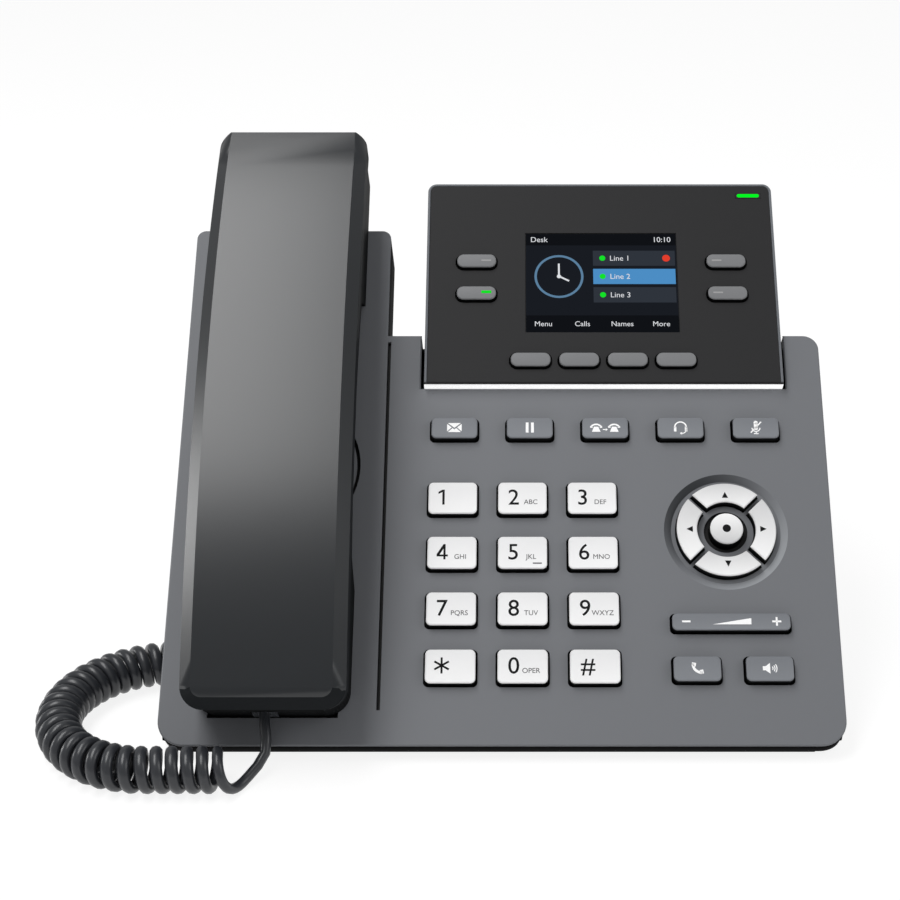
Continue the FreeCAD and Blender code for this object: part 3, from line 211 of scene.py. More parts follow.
def made_mesh(thing, name):
    """The evaluated object as a plain mesh object, in place of the thing itself."""
    mesh = evaluated_mesh(thing)
    mesh.name = name
    piece = bpy.data.objects.new(name, mesh)
    scene.collection.objects.link(piece)
    bpy.data.objects.remove(thing)
    return piece


line = smooth_line("cord_line", route)
cord_path = [vertex.co.copy() for vertex in evaluated_mesh(line).vertices]
line.data.bevel_depth = CORD / 2 * MM
line.data.bevel_resolution = 3
line.data.use_fill_caps = True
cord = made_mesh(line, "curly_cord")
cord.data.shade_smooth()

# %% [markdown]
# Telephone cord is a little flat, and its flat side lies against the next curl, so the coil looks dense.
# The tube's rings come one after the other in the mesh. Each ring of a curl is widened along the coil's
# own direction, which is read between the points one turn before and one turn after it.

# %% Oval curls
OVAL = 0.18
PER_TURN = POINTS_PER_TURN * 2
around = len(cord.data.vertices) // len(cord_path)
first_curl, last_curl = PER_TURN, len(cord_path) - 2 * PER_TURN
for number, centre in enumerate(cord_path):
    share = min(max(0, min(number - first_curl, last_curl - number) / PER_TURN), 1)
    if not share:
        continue
    along = (cord_path[number + PER_TURN] - cord_path[number - PER_TURN]).normalized()
    for vertex in cord.data.vertices[number * around:(number + 1) * around]:
        vertex.co += along * (vertex.co - centre).dot(along) * OVAL * share
print(f"curls wider by {OVAL:.0%} along the coil, in rings of {around} points")

# %% [markdown]
# ## Finishes
# Nearly all of the telephone is moulded plastic. Moulds are etched, so the plastic has a very fine
# grain that breaks up reflections. Every material could have its own noise, but the grain is the same on
# all pieces, so it is one node group, whose height feeds the Bump node of each material. Colours are
# written as they look on a screen and turned into the linear numbers that a shader needs.


# %% Colours and the mould's grain
def linear(red, green, blue):
    """A screen colour, 0 to 255, as the linear colour of a shader socket."""
    parts = [part / 255 for part in (red, green, blue)]
    return (*(part / 12.92 if part <= 0.04045 else ((part + 0.055) / 1.055) ** 2.4 for part in parts), 1)


def value_group(name, result, *given):
    """A shader node group of plain numbers, with the nodes that hold its inputs and its result."""
    group = bpy.data.node_groups.new(name, "ShaderNodeTree")
    for socket in given:
        group.interface.new_socket(socket, in_out="INPUT", socket_type="NodeSocketFloat")
    group.interface.new_socket(result, in_out="OUTPUT", socket_type="NodeSocketFloat")
    return group, group.nodes.new("NodeGroupInput"), group.nodes.new("NodeGroupOutput")


def make_grain():
    group, inlet, outlet = value_group("mould_grain", "Height", "Scale")
    place = group.nodes.new("ShaderNodeTexCoord")
    noise = group.nodes.new("ShaderNodeTexNoise")
    noise.inputs["Detail"].default_value = 2
    group.links.new(inlet.outputs["Scale"], noise.inputs["Scale"])
    group.links.new(place.outputs["Object"], noise.inputs["Vector"])
    group.links.new(noise.outputs["Fac"], outlet.inputs["Height"])
    return group


mould_grain = make_grain()
print("grain group with", len(mould_grain.nodes), "nodes")

# %% [markdown]
# A key shows a pale cap on dark sides, because a real key has a painted top and stands in the shadow of
# its hole; that shadow is painted shade, a dark colour below a level. The cap could be a piece of its own,
# but a mask does the same with no more faces: it asks how far a place lies above the deck, which is the
# dot product of the place and the direction out of the deck.


# %% Painted shade below a level
def computed(tree, kind, operation, *inputs):
    """The result of a maths node, whose inputs are numbers, vectors or other nodes' sockets."""
    node = tree.nodes.new("ShaderNode" + kind)
    node.operation = operation
    for socket, given in zip(node.inputs, inputs):
        if isinstance(given, bpy.types.NodeSocket):
            tree.links.new(given, socket)
        else:
            socket.default_value = given
    return node.outputs["Value"] if operation in ("DOT_PRODUCT", "LENGTH") else node.outputs[0]


def make_depth_mask():
    """Puts out 1 below a level of the deck, in millimetres, where painted shade goes, and 0 above it."""
    group, inlet, outlet = value_group("shade_depth_mask", "Mask", "Level")
    place = group.nodes.new("ShaderNodeTexCoord")
    height = computed(group, "VectorMath", "DOT_PRODUCT", place.outputs["Object"], out_of_deck / MM)
    above = computed(group, "Math", "SUBTRACT", height, front_edge.dot(out_of_deck) / MM)
    below = computed(group, "Math", "LESS_THAN", above, inlet.outputs["Level"])
    group.links.new(below, outlet.inputs["Mask"])
    return group


shade_depth_mask = make_depth_mask()
print("depth group with", len(shade_depth_mask.nodes), "nodes")

# %% [markdown]
# Every plastic is a Principled shader with its colour, roughness and gloss, and most have the grain.
# Paint is a second colour that a mask mixes in; here it carries painted shade and painted light. Layers of
# paint go on top of each other, so each new Mix node takes what fed the shader's colour before. A finish of
# one plain colour keeps it on the shader.

# %% A moulded plastic
GRAIN_SCALE, GRAIN_DEPTH = 2600, 0.00006
# The colour of painted shade: walls below the deck's level and the keys' sides
PAINTED_SHADE_BELOW = (10, 10, 11)


def plastic(name, colour, roughness, grain=0.0, specular=0.5):
    """A Principled plastic with the mould's grain as its bump."""
    material = bpy.data.materials.new(name)
    material.use_nodes = True
    tree = material.node_tree
    shader = tree.nodes["Principled BSDF"]
    shader.inputs["Base Color"].default_value = linear(*colour)
    shader.inputs["Roughness"].default_value = roughness
    shader.inputs["Specular IOR Level"].default_value = specular
    if grain:
        texture = tree.nodes.new("ShaderNodeGroup")
        texture.node_tree = mould_grain
        texture.inputs["Scale"].default_value = GRAIN_SCALE
        bump = tree.nodes.new("ShaderNodeBump")
        bump.inputs["Strength"].default_value = grain
        bump.inputs["Distance"].default_value = GRAIN_DEPTH
        tree.links.new(texture.outputs["Height"], bump.inputs["Height"])
        tree.links.new(bump.outputs["Normal"], shader.inputs["Normal"])
    return material


def paint(material, colour, share):
    """Mix a screen colour into a finish, by the share that a socket gives."""
    tree = material.node_tree
    base = tree.nodes["Principled BSDF"].inputs["Base Color"]
    mix = tree.nodes.new("ShaderNodeMix")
    mix.data_type = "RGBA"
    mix.inputs["A"].default_value = base.default_value
    mix.inputs["B"].default_value = linear(*colour)
    if base.is_linked:
        tree.links.new(base.links[0].from_socket, mix.inputs["A"])
    tree.links.new(share, mix.inputs["Factor"])
    tree.links.new(mix.outputs["Result"], base)


def paint_shade_below(material, level):
    """Paint shade into a finish: dark below a level of the deck in millimetres."""
    depth = material.node_tree.nodes.new("ShaderNodeGroup")
    depth.node_tree = shade_depth_mask
    depth.inputs["Level"].default_value = level
    paint(material, PAINTED_SHADE_BELOW, depth.outputs["Mask"])


print(f"the grain repeats about every {1000 / GRAIN_SCALE:.2f} mm")

# %% [markdown]
# The deck and the display's rim are mid grey with a satin grain, and the fascia and the back are nearly
# black. Walls that go down into the deck, such as those of the cradle's cups and the key holes, get painted
# shade: below a small depth the deck's finish is dark.

# %% Finishes of the housings
# The deck stays grey this far down its walls, and gets painted shade below it
GREY_WALL = 1.2
deck_plastic = plastic("deck_plastic", (114, 116, 120), 0.5, grain=0.2, specular=0.25)
paint_shade_below(deck_plastic, -GREY_WALL)
# Black of the jacks, also painted shade on the base's front and under it
dark_plastic = plastic("dark_plastic", (6, 6, 7), 0.8, specular=0.03)
back_plastic = plastic("back_plastic", (34, 35, 37), 0.55, grain=0.2, specular=0.25)
rim_plastic = plastic("rim_plastic", (106, 109, 114), 0.45, grain=0.2, specular=0.3)
fascia_plastic = plastic("fascia_plastic", (46, 46, 47), 0.5, grain=0.1, specular=0.1)
print(len(bpy.data.materials), "finishes for the housings")

# %% [markdown]
# In the photograph a key's top is paler at its lower edge than at its upper edge, as if slightly hollow.
# The caps here are flat, so light alone would not show that. The shading is painted into the finish
# instead: an attribute on the key's points runs from 0 at its lower edge to 1 at its upper edge and mixes
# in a painted shade. How high a key stands is read from its CAD piece.

# %% Finishes of the keys
# The depth of a key's pale cap; below it the key's sides get painted shade
CAP = 0.45
# Painted shading colours: a key's upper edge, and the OK key's lower edge
WHITE, WHITE_SHADED_UPPER, NAV_SHADED_UPPER, OK_SHADED_LOWER = (252, 252, 252), (229, 229, 230), (206, 206, 207), (200, 200, 201)
GREY, GREY_SHADED_UPPER, PILL_GREY = (134, 137, 142), (116, 119, 124), (122, 123, 125)


def deck_box(name):
    """The lowest and highest corner of a CAD piece in deck millimetres."""
    to_deck = DECK.inverted() @ nodes[name].matrix_world
    places = [to_deck @ vertex.co for vertex in nodes[name].data.vertices]
    return [Vector([pick(place[axis] for place in places) for axis in range(3)]) for pick in (min, max)]


def key_plastic(name, key, colour, roughness, upper=None, grain=0.0):
    """The plastic of keys like the one named: painted shade on the sides under a cap, and the upper edge in a
    painted shading tone.
    """
    material = plastic(name, colour, roughness, grain, specular=0.2)
    # upper is the painted shading colour at the key's upper edge
    if upper:
        place = material.node_tree.nodes.new("ShaderNodeAttribute")
        place.attribute_name = "up_the_key"
        paint(material, upper, place.outputs["Fac"])
    key_top = deck_box(key)[1].z
    paint_shade_below(material, key_top - CAP)
    return material


# Each key's top is painted darker towards one edge as shading
dial_plastic = key_plastic("dial_key_plastic", "dial_key_5", WHITE, 0.4, WHITE_SHADED_UPPER)
nav_plastic = key_plastic("nav_key_plastic", "nav_key_up", WHITE, 0.4, NAV_SHADED_UPPER)
ok_plastic = key_plastic("ok_key_plastic", "nav_key_ok", OK_SHADED_LOWER, 0.35, WHITE)
grey_key_plastic = key_plastic("grey_key_plastic", "send_key", GREY, 0.45, GREY_SHADED_UPPER, grain=0.1)
pill_plastic = key_plastic("pill_key_plastic", "soft_key_1", PILL_GREY, 0.45)
print(len(bpy.data.materials), "finishes with those of the keys")

# %% [markdown]
# The handset's face is smooth and shines softly along its length. Its lower end and right side get a
# darker, duller finish as painted shade, and its underside is duller. The white strip at the display's foot
# faces away from the lamps and still looks bright, so it is given a painted glow of its own. The screws are
# steel, and the rest are the usual plastics and rubbers.


# %% Finishes of the handset, the cord and the small pieces
def give_light(material, colour, strength):
    shader = material.node_tree.nodes["Principled BSDF"]
    shader.inputs["Emission Color"].default_value = linear(*colour)
    shader.inputs["Emission Strength"].default_value = strength
    return material


handset_plastic = plastic("handset_plastic", (20, 24, 28), 0.29, grain=0.06, specular=0.6)
# Painted shade: a darker, duller finish for the handset's faces that look down the deck or to the right
handset_shade_plastic = plastic("handset_shade_plastic", (31, 33, 35), 0.6, grain=0.1, specular=0.04)
handset_lower_plastic = plastic("handset_lower_plastic", (17, 18, 19), 0.6, grain=0.1, specular=0.03)
# The white strip gets a painted glow: light of its own, though it is no lamp
STRIP_WHITE = (245, 245, 245)
strip_plastic = give_light(plastic("strip_plastic", STRIP_WHITE, 0.3), STRIP_WHITE, 0.75)
cord_vinyl = plastic("cord_vinyl", (46, 48, 52), 0.3)
rubber = plastic("rubber", (30, 30, 30), 0.7)
mat_rubber = plastic("mat_rubber", (60, 62, 64), 0.6)
board_green = plastic("board_green", (40, 92, 56), 0.5)
plug_plastic = plastic("plug_plastic", (60, 62, 66), 0.2)
cone_black = plastic("cone_black", (28, 28, 29), 0.6)
screw_steel = plastic("screw_steel", (160, 160, 160), 0.35)
screw_steel.node_tree.nodes["Principled BSDF"].inputs["Metallic"].default_value = 1
print(len(bpy.data.materials), "finishes in all")

# %% [markdown]
# The direction keys lie in a shallow dish. In the photograph its bevelled edge is dark on the side of the
# lamp and pale on the far side. Soft light hardly shows so shallow a slope, so this light and shade is
# painted into the plastic: painted shade and a painted highlight on a ring about the dish's middle. The
# painted tone is the share of a place's distance from the middle that goes towards the upper left.

# %% Painted light and shade on the dish's edge
DISH_INNER, DISH_OUTER = 17.3, 19.55
# Painted shade on the upper left of the dish's edge and painted light on its lower right
DISH_PAINTED_SHADE, DISH_PAINTED_LIGHT = (48, 50, 53), (146, 149, 153)
TO_UPPER_LEFT = Vector((-0.7, 0.7, 0))


def make_painted_dish_shading(middle, inner, outer):
    """Puts out how far a place on the ring looks towards the upper left, from 1 for painted shade to -1 for
    painted light, and 0 elsewhere.
    """
    group, _, outlet = value_group("painted_dish_shading", "Tone")
    place = group.nodes.new("ShaderNodeTexCoord")
    from_middle = computed(group, "VectorMath", "SUBTRACT", place.outputs["Object"], middle)
    flat = group.nodes.new("ShaderNodeCombineXYZ")
    for axis, direction in (("X", Vector((1, 0, 0))), ("Y", up_the_deck)):
        along = computed(group, "VectorMath", "DOT_PRODUCT", from_middle, direction / MM)
        group.links.new(along, flat.inputs[axis])
    radius = computed(group, "VectorMath", "LENGTH", flat.outputs[0])
    to_lamp = computed(group, "VectorMath", "DOT_PRODUCT", flat.outputs[0], TO_UPPER_LEFT)
    past_inner = computed(group, "Math", "GREATER_THAN", radius, inner)
    inside_outer = computed(group, "Math", "LESS_THAN", radius, outer)
    on_ring = computed(group, "Math", "MULTIPLY", past_inner, inside_outer)
    tone = computed(group, "Math", "MULTIPLY", on_ring, computed(group, "Math", "DIVIDE", to_lamp, radius))
    group.links.new(tone, outlet.inputs["Tone"])
    return group


low, high = deck_box("nav_key_ok")
dish_middle = DECK @ Vector(((low.x + high.x) / 2, (low.y + high.y) / 2, 0))
deck_tree = deck_plastic.node_tree
painted_dish_shading = deck_tree.nodes.new("ShaderNodeGroup")
painted_dish_shading.node_tree = make_painted_dish_shading(dish_middle, DISH_INNER, DISH_OUTER)
# Painted shade towards the upper left, painted light on the far side
for colour, side in ((DISH_PAINTED_SHADE, 1), (DISH_PAINTED_LIGHT, -1)):
    share = computed(deck_tree, "Math", "MULTIPLY", painted_dish_shading.outputs["Tone"], side)
    share.node.use_clamp = True
    paint(deck_plastic, colour, share)
print("the dish's edge has its tones,", len(deck_tree.nodes), "nodes in the deck's finish")

# %% [markdown]
# Each CAD piece takes its finish from a table. A row is a finish and the names of its pieces, and a star
# stands for any ending. The first row that fits a name counts.

# %% Finishes of the pieces
FINISHES = (
    (deck_plastic, "front_housing", "cradle_tab", "hook_switch"),
    (back_plastic, "rear_housing", "stand"),
    (rim_plastic, "display_housing"),
    (fascia_plastic, "display_fascia", "screen_module", "message_lamp"),
    (strip_plastic, "accent_strip"),
    (dial_plastic, "dial_key_*"),
    (ok_plastic, "nav_key_ok"),
    (nav_plastic, "nav_key_*"),
    (pill_plastic, "line_key_*", "soft_key_*"),
    (grey_key_plastic, "message_key", "hold_key", "transfer_key", "headset_key", "mute_key"),
    (grey_key_plastic, "send_key", "speaker_key", "volume_key"),
    (handset_plastic, "handset_upper_shell"),
    (handset_lower_plastic, "handset_lower_shell"),
    (cone_black, "loudspeaker", "earpiece_receiver", "handset_microphone"),
    (plug_plastic, "handset_plug", "base_plug"),
    (cord_vinyl, "handset_cord*"),
    (dark_plastic, "network_jacks", "audio_jacks", "power_jack"),
    (board_green, "main_board"),
    (mat_rubber, "key_mat"),
    (rubber, "rubber_feet"),
    (screw_steel, "housing_screws"),
)


def finish_of(name):
    return next(finish for finish, *patterns in FINISHES
                if any(fnmatchcase(name, pattern) for pattern in patterns))


for name, node in nodes.items():
    node.data.materials.clear()
    node.data.materials.append(finish_of(name))
print("finishes set on", len(nodes), "pieces")

# %% [markdown]
# ## Moulded edges
# No moulded edge is sharp: it has a small radius that catches the light, and without it plastic looks
# like paper. The CAD pieces keep their sharp edges, so the keys, the handset, the display's housing, the
# rear housing and the stand each get a copy whose corners are merged. The other copies' flat faces are
# joined and their edges bevelled, but the handset already has its rounds in the CAD model, and a bevel
# would fold over at their narrow faces. Its copies stay crisp, and normals weighted by the size of the
# faces keep its flats flat. The copy then stands for its piece.

# %% Copies with smooth edges
BODY_OF = {name: body for body, names in frame["record"]["behaviour"]["bodies"].items() for name in names}
SHARP, FLAT = math.radians(28), math.radians(0.5)
MERGE = 2e-6


def copy_of(name, join_flat):
    """An object with a merged copy of a CAD piece's mesh, smooth and with its finish."""
    shape = bmesh.new()
    shape.from_mesh(nodes[name].data)
    bmesh.ops.remove_doubles(shape, verts=shape.verts, dist=MERGE)
    if join_flat:
        bmesh.ops.dissolve_limit(shape, angle_limit=FLAT, verts=shape.verts, edges=shape.edges)
    mesh = bpy.data.meshes.new(name + "_rounded")
    shape.to_mesh(mesh)
    shape.free()
    mesh.materials.append(finish_of(name))
    mesh.shade_smooth()
    piece = bpy.data.objects.new(name + "_rounded", mesh)
    scene.collection.objects.link(piece)
    return piece


def stands_for(piece, name):
    """The finished copy as a plain mesh that replaces its CAD piece and rides on the same body."""
    finished = made_mesh(piece, name + "_rounded")
    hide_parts(name)
    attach(finished, BODY_OF[name])
    return finished


def rounded(name, radius):
    """A copy with its sharp edges rounded by a radius in millimetres."""
    piece = copy_of(name, join_flat=True)
    bevel = piece.modifiers.new("edges", "BEVEL")
    bevel.width = radius * MM
    bevel.segments = 2
    bevel.limit_method = "ANGLE"
    bevel.angle_limit = SHARP
    bevel.use_clamp_overlap = False
    bevel.harden_normals = True
    return stands_for(piece, name)


def crisp(name):
    """A copy with crisp edges and flat faces, on which only the moulded rounds are smooth."""
    piece = copy_of(name, join_flat=False)
    piece.data.set_sharp_from_angle(angle=SHARP)
    weighted = piece.modifiers.new("flat_faces", "WEIGHTED_NORMAL")
    weighted.keep_sharp = True
    weighted.weight = 100
    return stands_for(piece, name)


# %% [markdown]
# The keys have a radius of about a seventh of a millimetre. Their copies also carry the attribute that
# the keys' finishes read.

# %% Keys
KEY_EDGE = 0.15


def grade(piece):
    """Give each point of a key its share of the way up the key, for the painted shading across its top."""
    to_deck = DECK.inverted()
    heights = [(to_deck @ vertex.co).y for vertex in piece.data.vertices]
    low, high = min(heights), max(heights)
    share = piece.data.attributes.new("up_the_key", "FLOAT", "POINT")
    for point, height in zip(share.data, heights):
        point.value = (height - low) / (high - low)


key_names = [name for name in nodes if "_key" in name]
for name in key_names:
    grade(rounded(name, KEY_EDGE))
print(len(key_names), "keys have round edges")

# %% [markdown]
# The larger pieces follow. The handset's lower end and right side, and the base's front, get painted
# shade: they are duller or darker than the rest of their piece. That is a second material on the same mesh,
# given to the faces that look down the deck or to the right.

# %% Handset and housings
DOWN_THE_DECK, TO_THE_RIGHT = 0.3, 0.85
handset_copy = crisp("handset_upper_shell")
crisp("handset_lower_shell")
rounded("display_housing", 0.3)
rear_copy = rounded("rear_housing", 0.5)
rounded("stand", 0.5)
# Painted shade on the faces that look down the deck or to the right
for piece, finish in ((handset_copy, handset_shade_plastic), (rear_copy, dark_plastic)):
    piece.data.materials.append(finish)
    for face in piece.data.polygons:
        if -face.normal.dot(up_the_deck) > DOWN_THE_DECK or face.normal.x > TO_THE_RIGHT:
            face.material_index = 1
print("handset and housings have smooth edges")

# %% [markdown]
# ## Printing on the deck
# Legends and icons are printed on the keys. They could be pictures on the keys' faces, but drawings of
# real faces stay sharp at any distance. Each is a list of points in millimetres and a list of faces, and
# lies a few hundredths of a millimetre above its key. A few simple shapes make up all icons.


# %% Drawings
def patch(*points):
    """One face through points, turned so that it faces out of the deck."""
    area = sum(a[0] * b[1] - b[0] * a[1] for a, b in zip(points, points[1:] + points[:1]))
    ordered = list(points) if area > 0 else list(reversed(points))
    return ordered, [tuple(range(len(ordered)))]


def bar(x, y, width, height, turn=0):
    cos, sin = math.cos(math.radians(turn)), math.sin(math.radians(turn))
    sides = ((-1, -1), (1, -1), (1, 1), (-1, 1))
    corners = [(across * width / 2, along * height / 2) for across, along in sides]
    return patch(*((x + a * cos - b * sin, y + a * sin + b * cos) for a, b in corners))


def band(x, y, inner, outer, start, end, steps=18):
    """Part of a ring between two angles in degrees."""
    angles = [math.radians(start + (end - start) * step / steps) for step in range(steps + 1)]
    rim = [(x + outer * math.cos(angle), y + outer * math.sin(angle)) for angle in angles]
    core = [(x + inner * math.cos(angle), y + inner * math.sin(angle)) for angle in reversed(angles)]
    return patch(*rim, *core)


def disc(x, y, radius, steps=32):
    angles = [2 * math.pi * step / steps for step in range(steps)]
    return patch(*((x + radius * math.cos(angle), y + radius * math.sin(angle)) for angle in angles))


print("a disc has", len(disc(0, 0, 1)[0]), "points")

# %% [markdown]
# Letters and digits come from Blender's own outline font. A text object is turned into a mesh once, only
# its points and faces are kept, and they are scaled so that a capital has the height that is asked for.


# %% Lettering
def letters(text, heavier=0.0):
    """The outline font's points and faces for a text, at its own size. Heavier widens the strokes."""
    font = bpy.data.curves.new("lettering", "FONT")
    font.body = text
    font.resolution_u = 4
    font.offset = heavier
    thing = bpy.data.objects.new("lettering", font)
    scene.collection.objects.link(thing)
    mesh = evaluated_mesh(thing)
    points = [vertex.co.xy for vertex in mesh.vertices]
    faces = [tuple(face.vertices) for face in mesh.polygons]
    bpy.data.objects.remove(thing)
    bpy.data.meshes.remove(mesh)
    return points, faces


CAPITAL = max(point.y for point in letters("H")[0])


def lettering(text, x, y, height, start=0.0, heavier=0.0):
    """A text of a capital height about x, y. Start is the share of its width left of x."""
    points, faces = letters(text, heavier)
    size = height / CAPITAL
    left, right = min(point.x for point in points), max(point.x for point in points)
    shift = left + start * (right - left)
    return [(x + (point.x - shift) * size, y + (point.y - CAPITAL / 2) * size) for point in points], faces


print(f"capitals are {CAPITAL:.3f} of the font's size")

# %% [markdown]
# A legend belongs on the middle of its key. That place is read from the CAD piece, and the print rides on
# the key's own body, so it goes down with the key when it is pressed.

# %% Printing on a key
INK = 0.03


def printed(name, drawings, x, y, level, finish, body):
    """Drawings as one flat piece at a level of the deck, riding on a body."""
    places, faces = [], []
    for points, polygons in drawings:
        faces += [tuple(len(places) + number for number in polygon) for polygon in polygons]
        places += [DECK @ Vector((x + across, y + along, level)) for across, along in points]
    mesh = bpy.data.meshes.new(name)
    mesh.from_pydata(places, [], faces)
    mesh.materials.append(finish)
    piece = bpy.data.objects.new(name, mesh)
    scene.collection.objects.link(piece)
    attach(piece, body)
    return piece


def on_key(key, label, drawings, finish):
    low, high = deck_box(key)
    middle = (low + high) / 2
    return printed(f"{key}_{label}", drawings, middle.x, middle.y, high.z + INK, finish, BODY_OF[key])


black_ink = plastic("black_ink", (22, 22, 23), 0.6, specular=0.1)
grey_ink = plastic("grey_ink", (84, 84, 86), 0.6, specular=0.1)
white_ink = plastic("white_ink", (255, 255, 255), 0.6, specular=0.1)
print(f"print lies {INK} mm above the keys")

# %% [markdown]
# The dial keys have large black digits at the left and small grey letters at the right, and the five has
# a short bar for finding it by touch. The one and the four have another shape than the font's, so these
# two are drawn from bars and patches, as are the star's three arms.

# %% Dial keys
DIAL = {"1": "", "2": "ABC", "3": "DEF", "4": "GHI", "5": "JKL", "6": "MNO", "7": "PQRS", "8": "TUV",
        "9": "WXYZ", "star": "", "0": "OPER", "hash": ""}
DIGIT, DIGIT_X, DIGIT_Y, HEAVIER = 5.1, -4.4, 0.2, 0.004
SMALL, SMALL_X, SMALL_Y = 1.55, 2.6, -1.4
one = [bar(-2.9, DIGIT_Y, 0.72, DIGIT), patch((-3.26, 2.75), (-3.26, 1.95), (-4.5, 1.3), (-4.5, 2.0))]
four = [bar(-2.3, DIGIT_Y, 0.66, DIGIT), bar(-3.0, -1.05, 3.5, 0.62),
        patch((-4.75, -1.36), (-4.75, -0.6), (-2.63, 2.75), (-1.97, 2.75), (-1.97, 2.3), (-4.0, -1.0))]
star = [bar(-2.6, DIGIT_Y, 0.62, DIGIT, turn) for turn in (0, 60, 120)]
OWN_SIGNS = {"1": one, "4": four, "star": star}
for name, word in DIAL.items():
    key = "dial_key_" + name
    letter = "#" if name == "hash" else name
    sign = OWN_SIGNS.get(name) or [lettering(letter, DIGIT_X, DIGIT_Y, DIGIT, heavier=HEAVIER)]
    on_key(key, "sign" if name == "star" else "digit", sign, black_ink)
    if word:
        on_key(key, "letters", [lettering(word, SMALL_X, SMALL_Y, SMALL, start=0.5)], grey_ink)
on_key("dial_key_5", "locating_bar", [bar(4.6, -3.6, 2.8, 0.4)], grey_ink)
print(len(DIAL), "dial keys are printed")

# %% [markdown]
# The function keys have white icons: an envelope for messages, two bars for hold, two small telephones
# for transfer, a headset, and a microphone with a slash for mute.

# %% Icons of the function keys
envelope = [patch((-2.1, 1.6), (0, -0.1), (2.1, 1.6)),
            patch((-2.35, 1.3), (-2.35, -1.35), (-0.85, 0.05)),
            patch((2.35, -1.35), (2.35, 1.3), (0.85, 0.05)),
            patch((-2.1, -1.6), (2.1, -1.6), (0.62, -0.2), (0, -0.65), (-0.62, -0.2))]
pause = [bar(-0.85, 0, 0.9, 3.6), bar(0.85, 0, 0.9, 3.6)]


def small_telephone(x):
    return [patch((x - 1.4, -1.5), (x + 1.4, -1.5), (x + 0.7, 0.3), (x - 0.7, 0.3)),
            band(x, -0.9, 1.75, 2.3, 38, 142), bar(x - 1.55, 0.2, 0.8, 0.6), bar(x + 1.55, 0.2, 0.8, 0.6)]


transfer = [*small_telephone(-2.9), *small_telephone(2.9), bar(-0.25, -0.7, 1.0, 0.35),
            patch((0.2, -1.2), (0.85, -0.7), (0.2, -0.2))]
headset = [band(0, 0.1, 1.65, 2.1, -10, 190), bar(-1.75, -0.55, 0.8, 1.7), bar(1.75, -0.55, 0.8, 1.7),
           band(0.45, -0.7, 1.2, 1.5, -95, 0), disc(0.2, -2.05, 0.38)]
microphone = [bar(0, 0.75, 1.3, 2.0), disc(0, 1.75, 0.65), disc(0, -0.25, 0.65),
              band(0, -0.1, 1.1, 1.45, 180, 360), bar(0, -1.75, 0.35, 0.6), bar(0, -2.15, 1.5, 0.35)]
slash = bar(0, 0.1, 0.42, 5.2, -42)
FUNCTION_ICONS = {"message_key": envelope, "hold_key": pause, "transfer_key": transfer,
                  "headset_key": headset, "mute_key": [*microphone, slash]}
for key, drawings in FUNCTION_ICONS.items():
    on_key(key, "icon", drawings, white_ink)
print(len(FUNCTION_ICONS), "icons on the function keys")

# %% [markdown]
# The keys at the lower right have a receiver, a loudspeaker and, on the long rocker, a wedge between a
# minus and a plus. The direction keys have black arrows: one triangle, turned to each side.

# %% Icons of the call keys and arrows
receiver = [band(1.2, 1.2, 2.15, 2.95, 172, 278), bar(-1.1, 1.25, 1.3, 1.1, -12),
            bar(1.25, -1.1, 1.1, 1.3, 12)]
loudspeaker = [bar(-1.8, 0, 0.9, 1.3), patch((-1.4, -0.65), (0, -1.7), (0, 1.7), (-1.4, 0.65)),
               *(band(0, 0, radius, radius + 0.3, -38, 38) for radius in (0.7, 1.3, 1.9))]
volume = [bar(-13.9, 0, 2.6, 0.6), patch((-5.8, -0.95), (6.1, -0.95), (6.1, 1.05)),
          bar(13.9, 0, 2.8, 0.6), bar(13.9, 0, 0.6, 2.8)]
CALL_ICONS = {"send_key": receiver, "speaker_key": loudspeaker, "volume_key": volume}
for key, drawings in CALL_ICONS.items():
    on_key(key, "icon", drawings, white_ink)
ARROWS, ARROW, ARROW_CORNERS = {"right": 0, "up": 90, "left": 180, "down": 270}, 1.25, (0, 128, 232)
for way, turn in ARROWS.items():
    angles = [math.radians(turn + corner) for corner in ARROW_CORNERS]
    arrow = patch(*((ARROW * math.cos(angle), ARROW * math.sin(angle)) for angle in angles))
    on_key("nav_key_" + way, "arrow", [arrow], black_ink)
on_key("nav_key_ok", "dot", [disc(0, 0, 1.3)], black_ink)
print(len(CALL_ICONS), "icons and", len(ARROWS), "arrows")

# %% [markdown]
# ## Lamps and screen
# The line keys have small lamps, three of them off and one green, and the message lamp shines at the
# display's corner. Things that shine are black with their own light at strength 1, where a colour shows
# as it is written. A thin cover in the fascia's colour hides the upper part of the white strip.

# %% Lamps
LAMPS_OFF = {"line_key_left_upper": 3.2, "line_key_right_upper": -3.2, "line_key_right_lower": -3.2}
PILL_WIDE, PILL_HIGH, COVER = 6.2, 1.35, 0.8


def shining(name, colour):
    return give_light(plastic(name, (0, 0, 0), 0.4, specular=0), colour, 1)


lamp_pale = plastic("lamp_pale", (158, 158, 158), 0.5, specular=0.1)
screen_green = shining("screen_green", (20, 226, 40))
for key, x in LAMPS_OFF.items():
    on_key(key, "lamp", [bar(x, 0, 3.2, 0.55)], lamp_pale)
on_key("line_key_left_lower", "lamp", [bar(3.3, 0.2, 3.3, 1.0)], screen_green)
bright_green = shining("bright_green", (2, 248, 34))
pill = [bar(0, 0, PILL_WIDE, PILL_HIGH), disc(-PILL_WIDE / 2, 0, PILL_HIGH / 2),
        disc(PILL_WIDE / 2, 0, PILL_HIGH / 2)]
on_key("message_lamp", "light", pill, bright_green)
low, high = deck_box("accent_strip")
printed("strip_cover", [bar(0, 0, high.x - low.x, COVER)], (low.x + high.x) / 2, high.y - COVER / 2,
        high.z + INK, fascia_plastic, "base")
print(len(LAMPS_OFF), "lamps off, and a green one and the message lamp on")

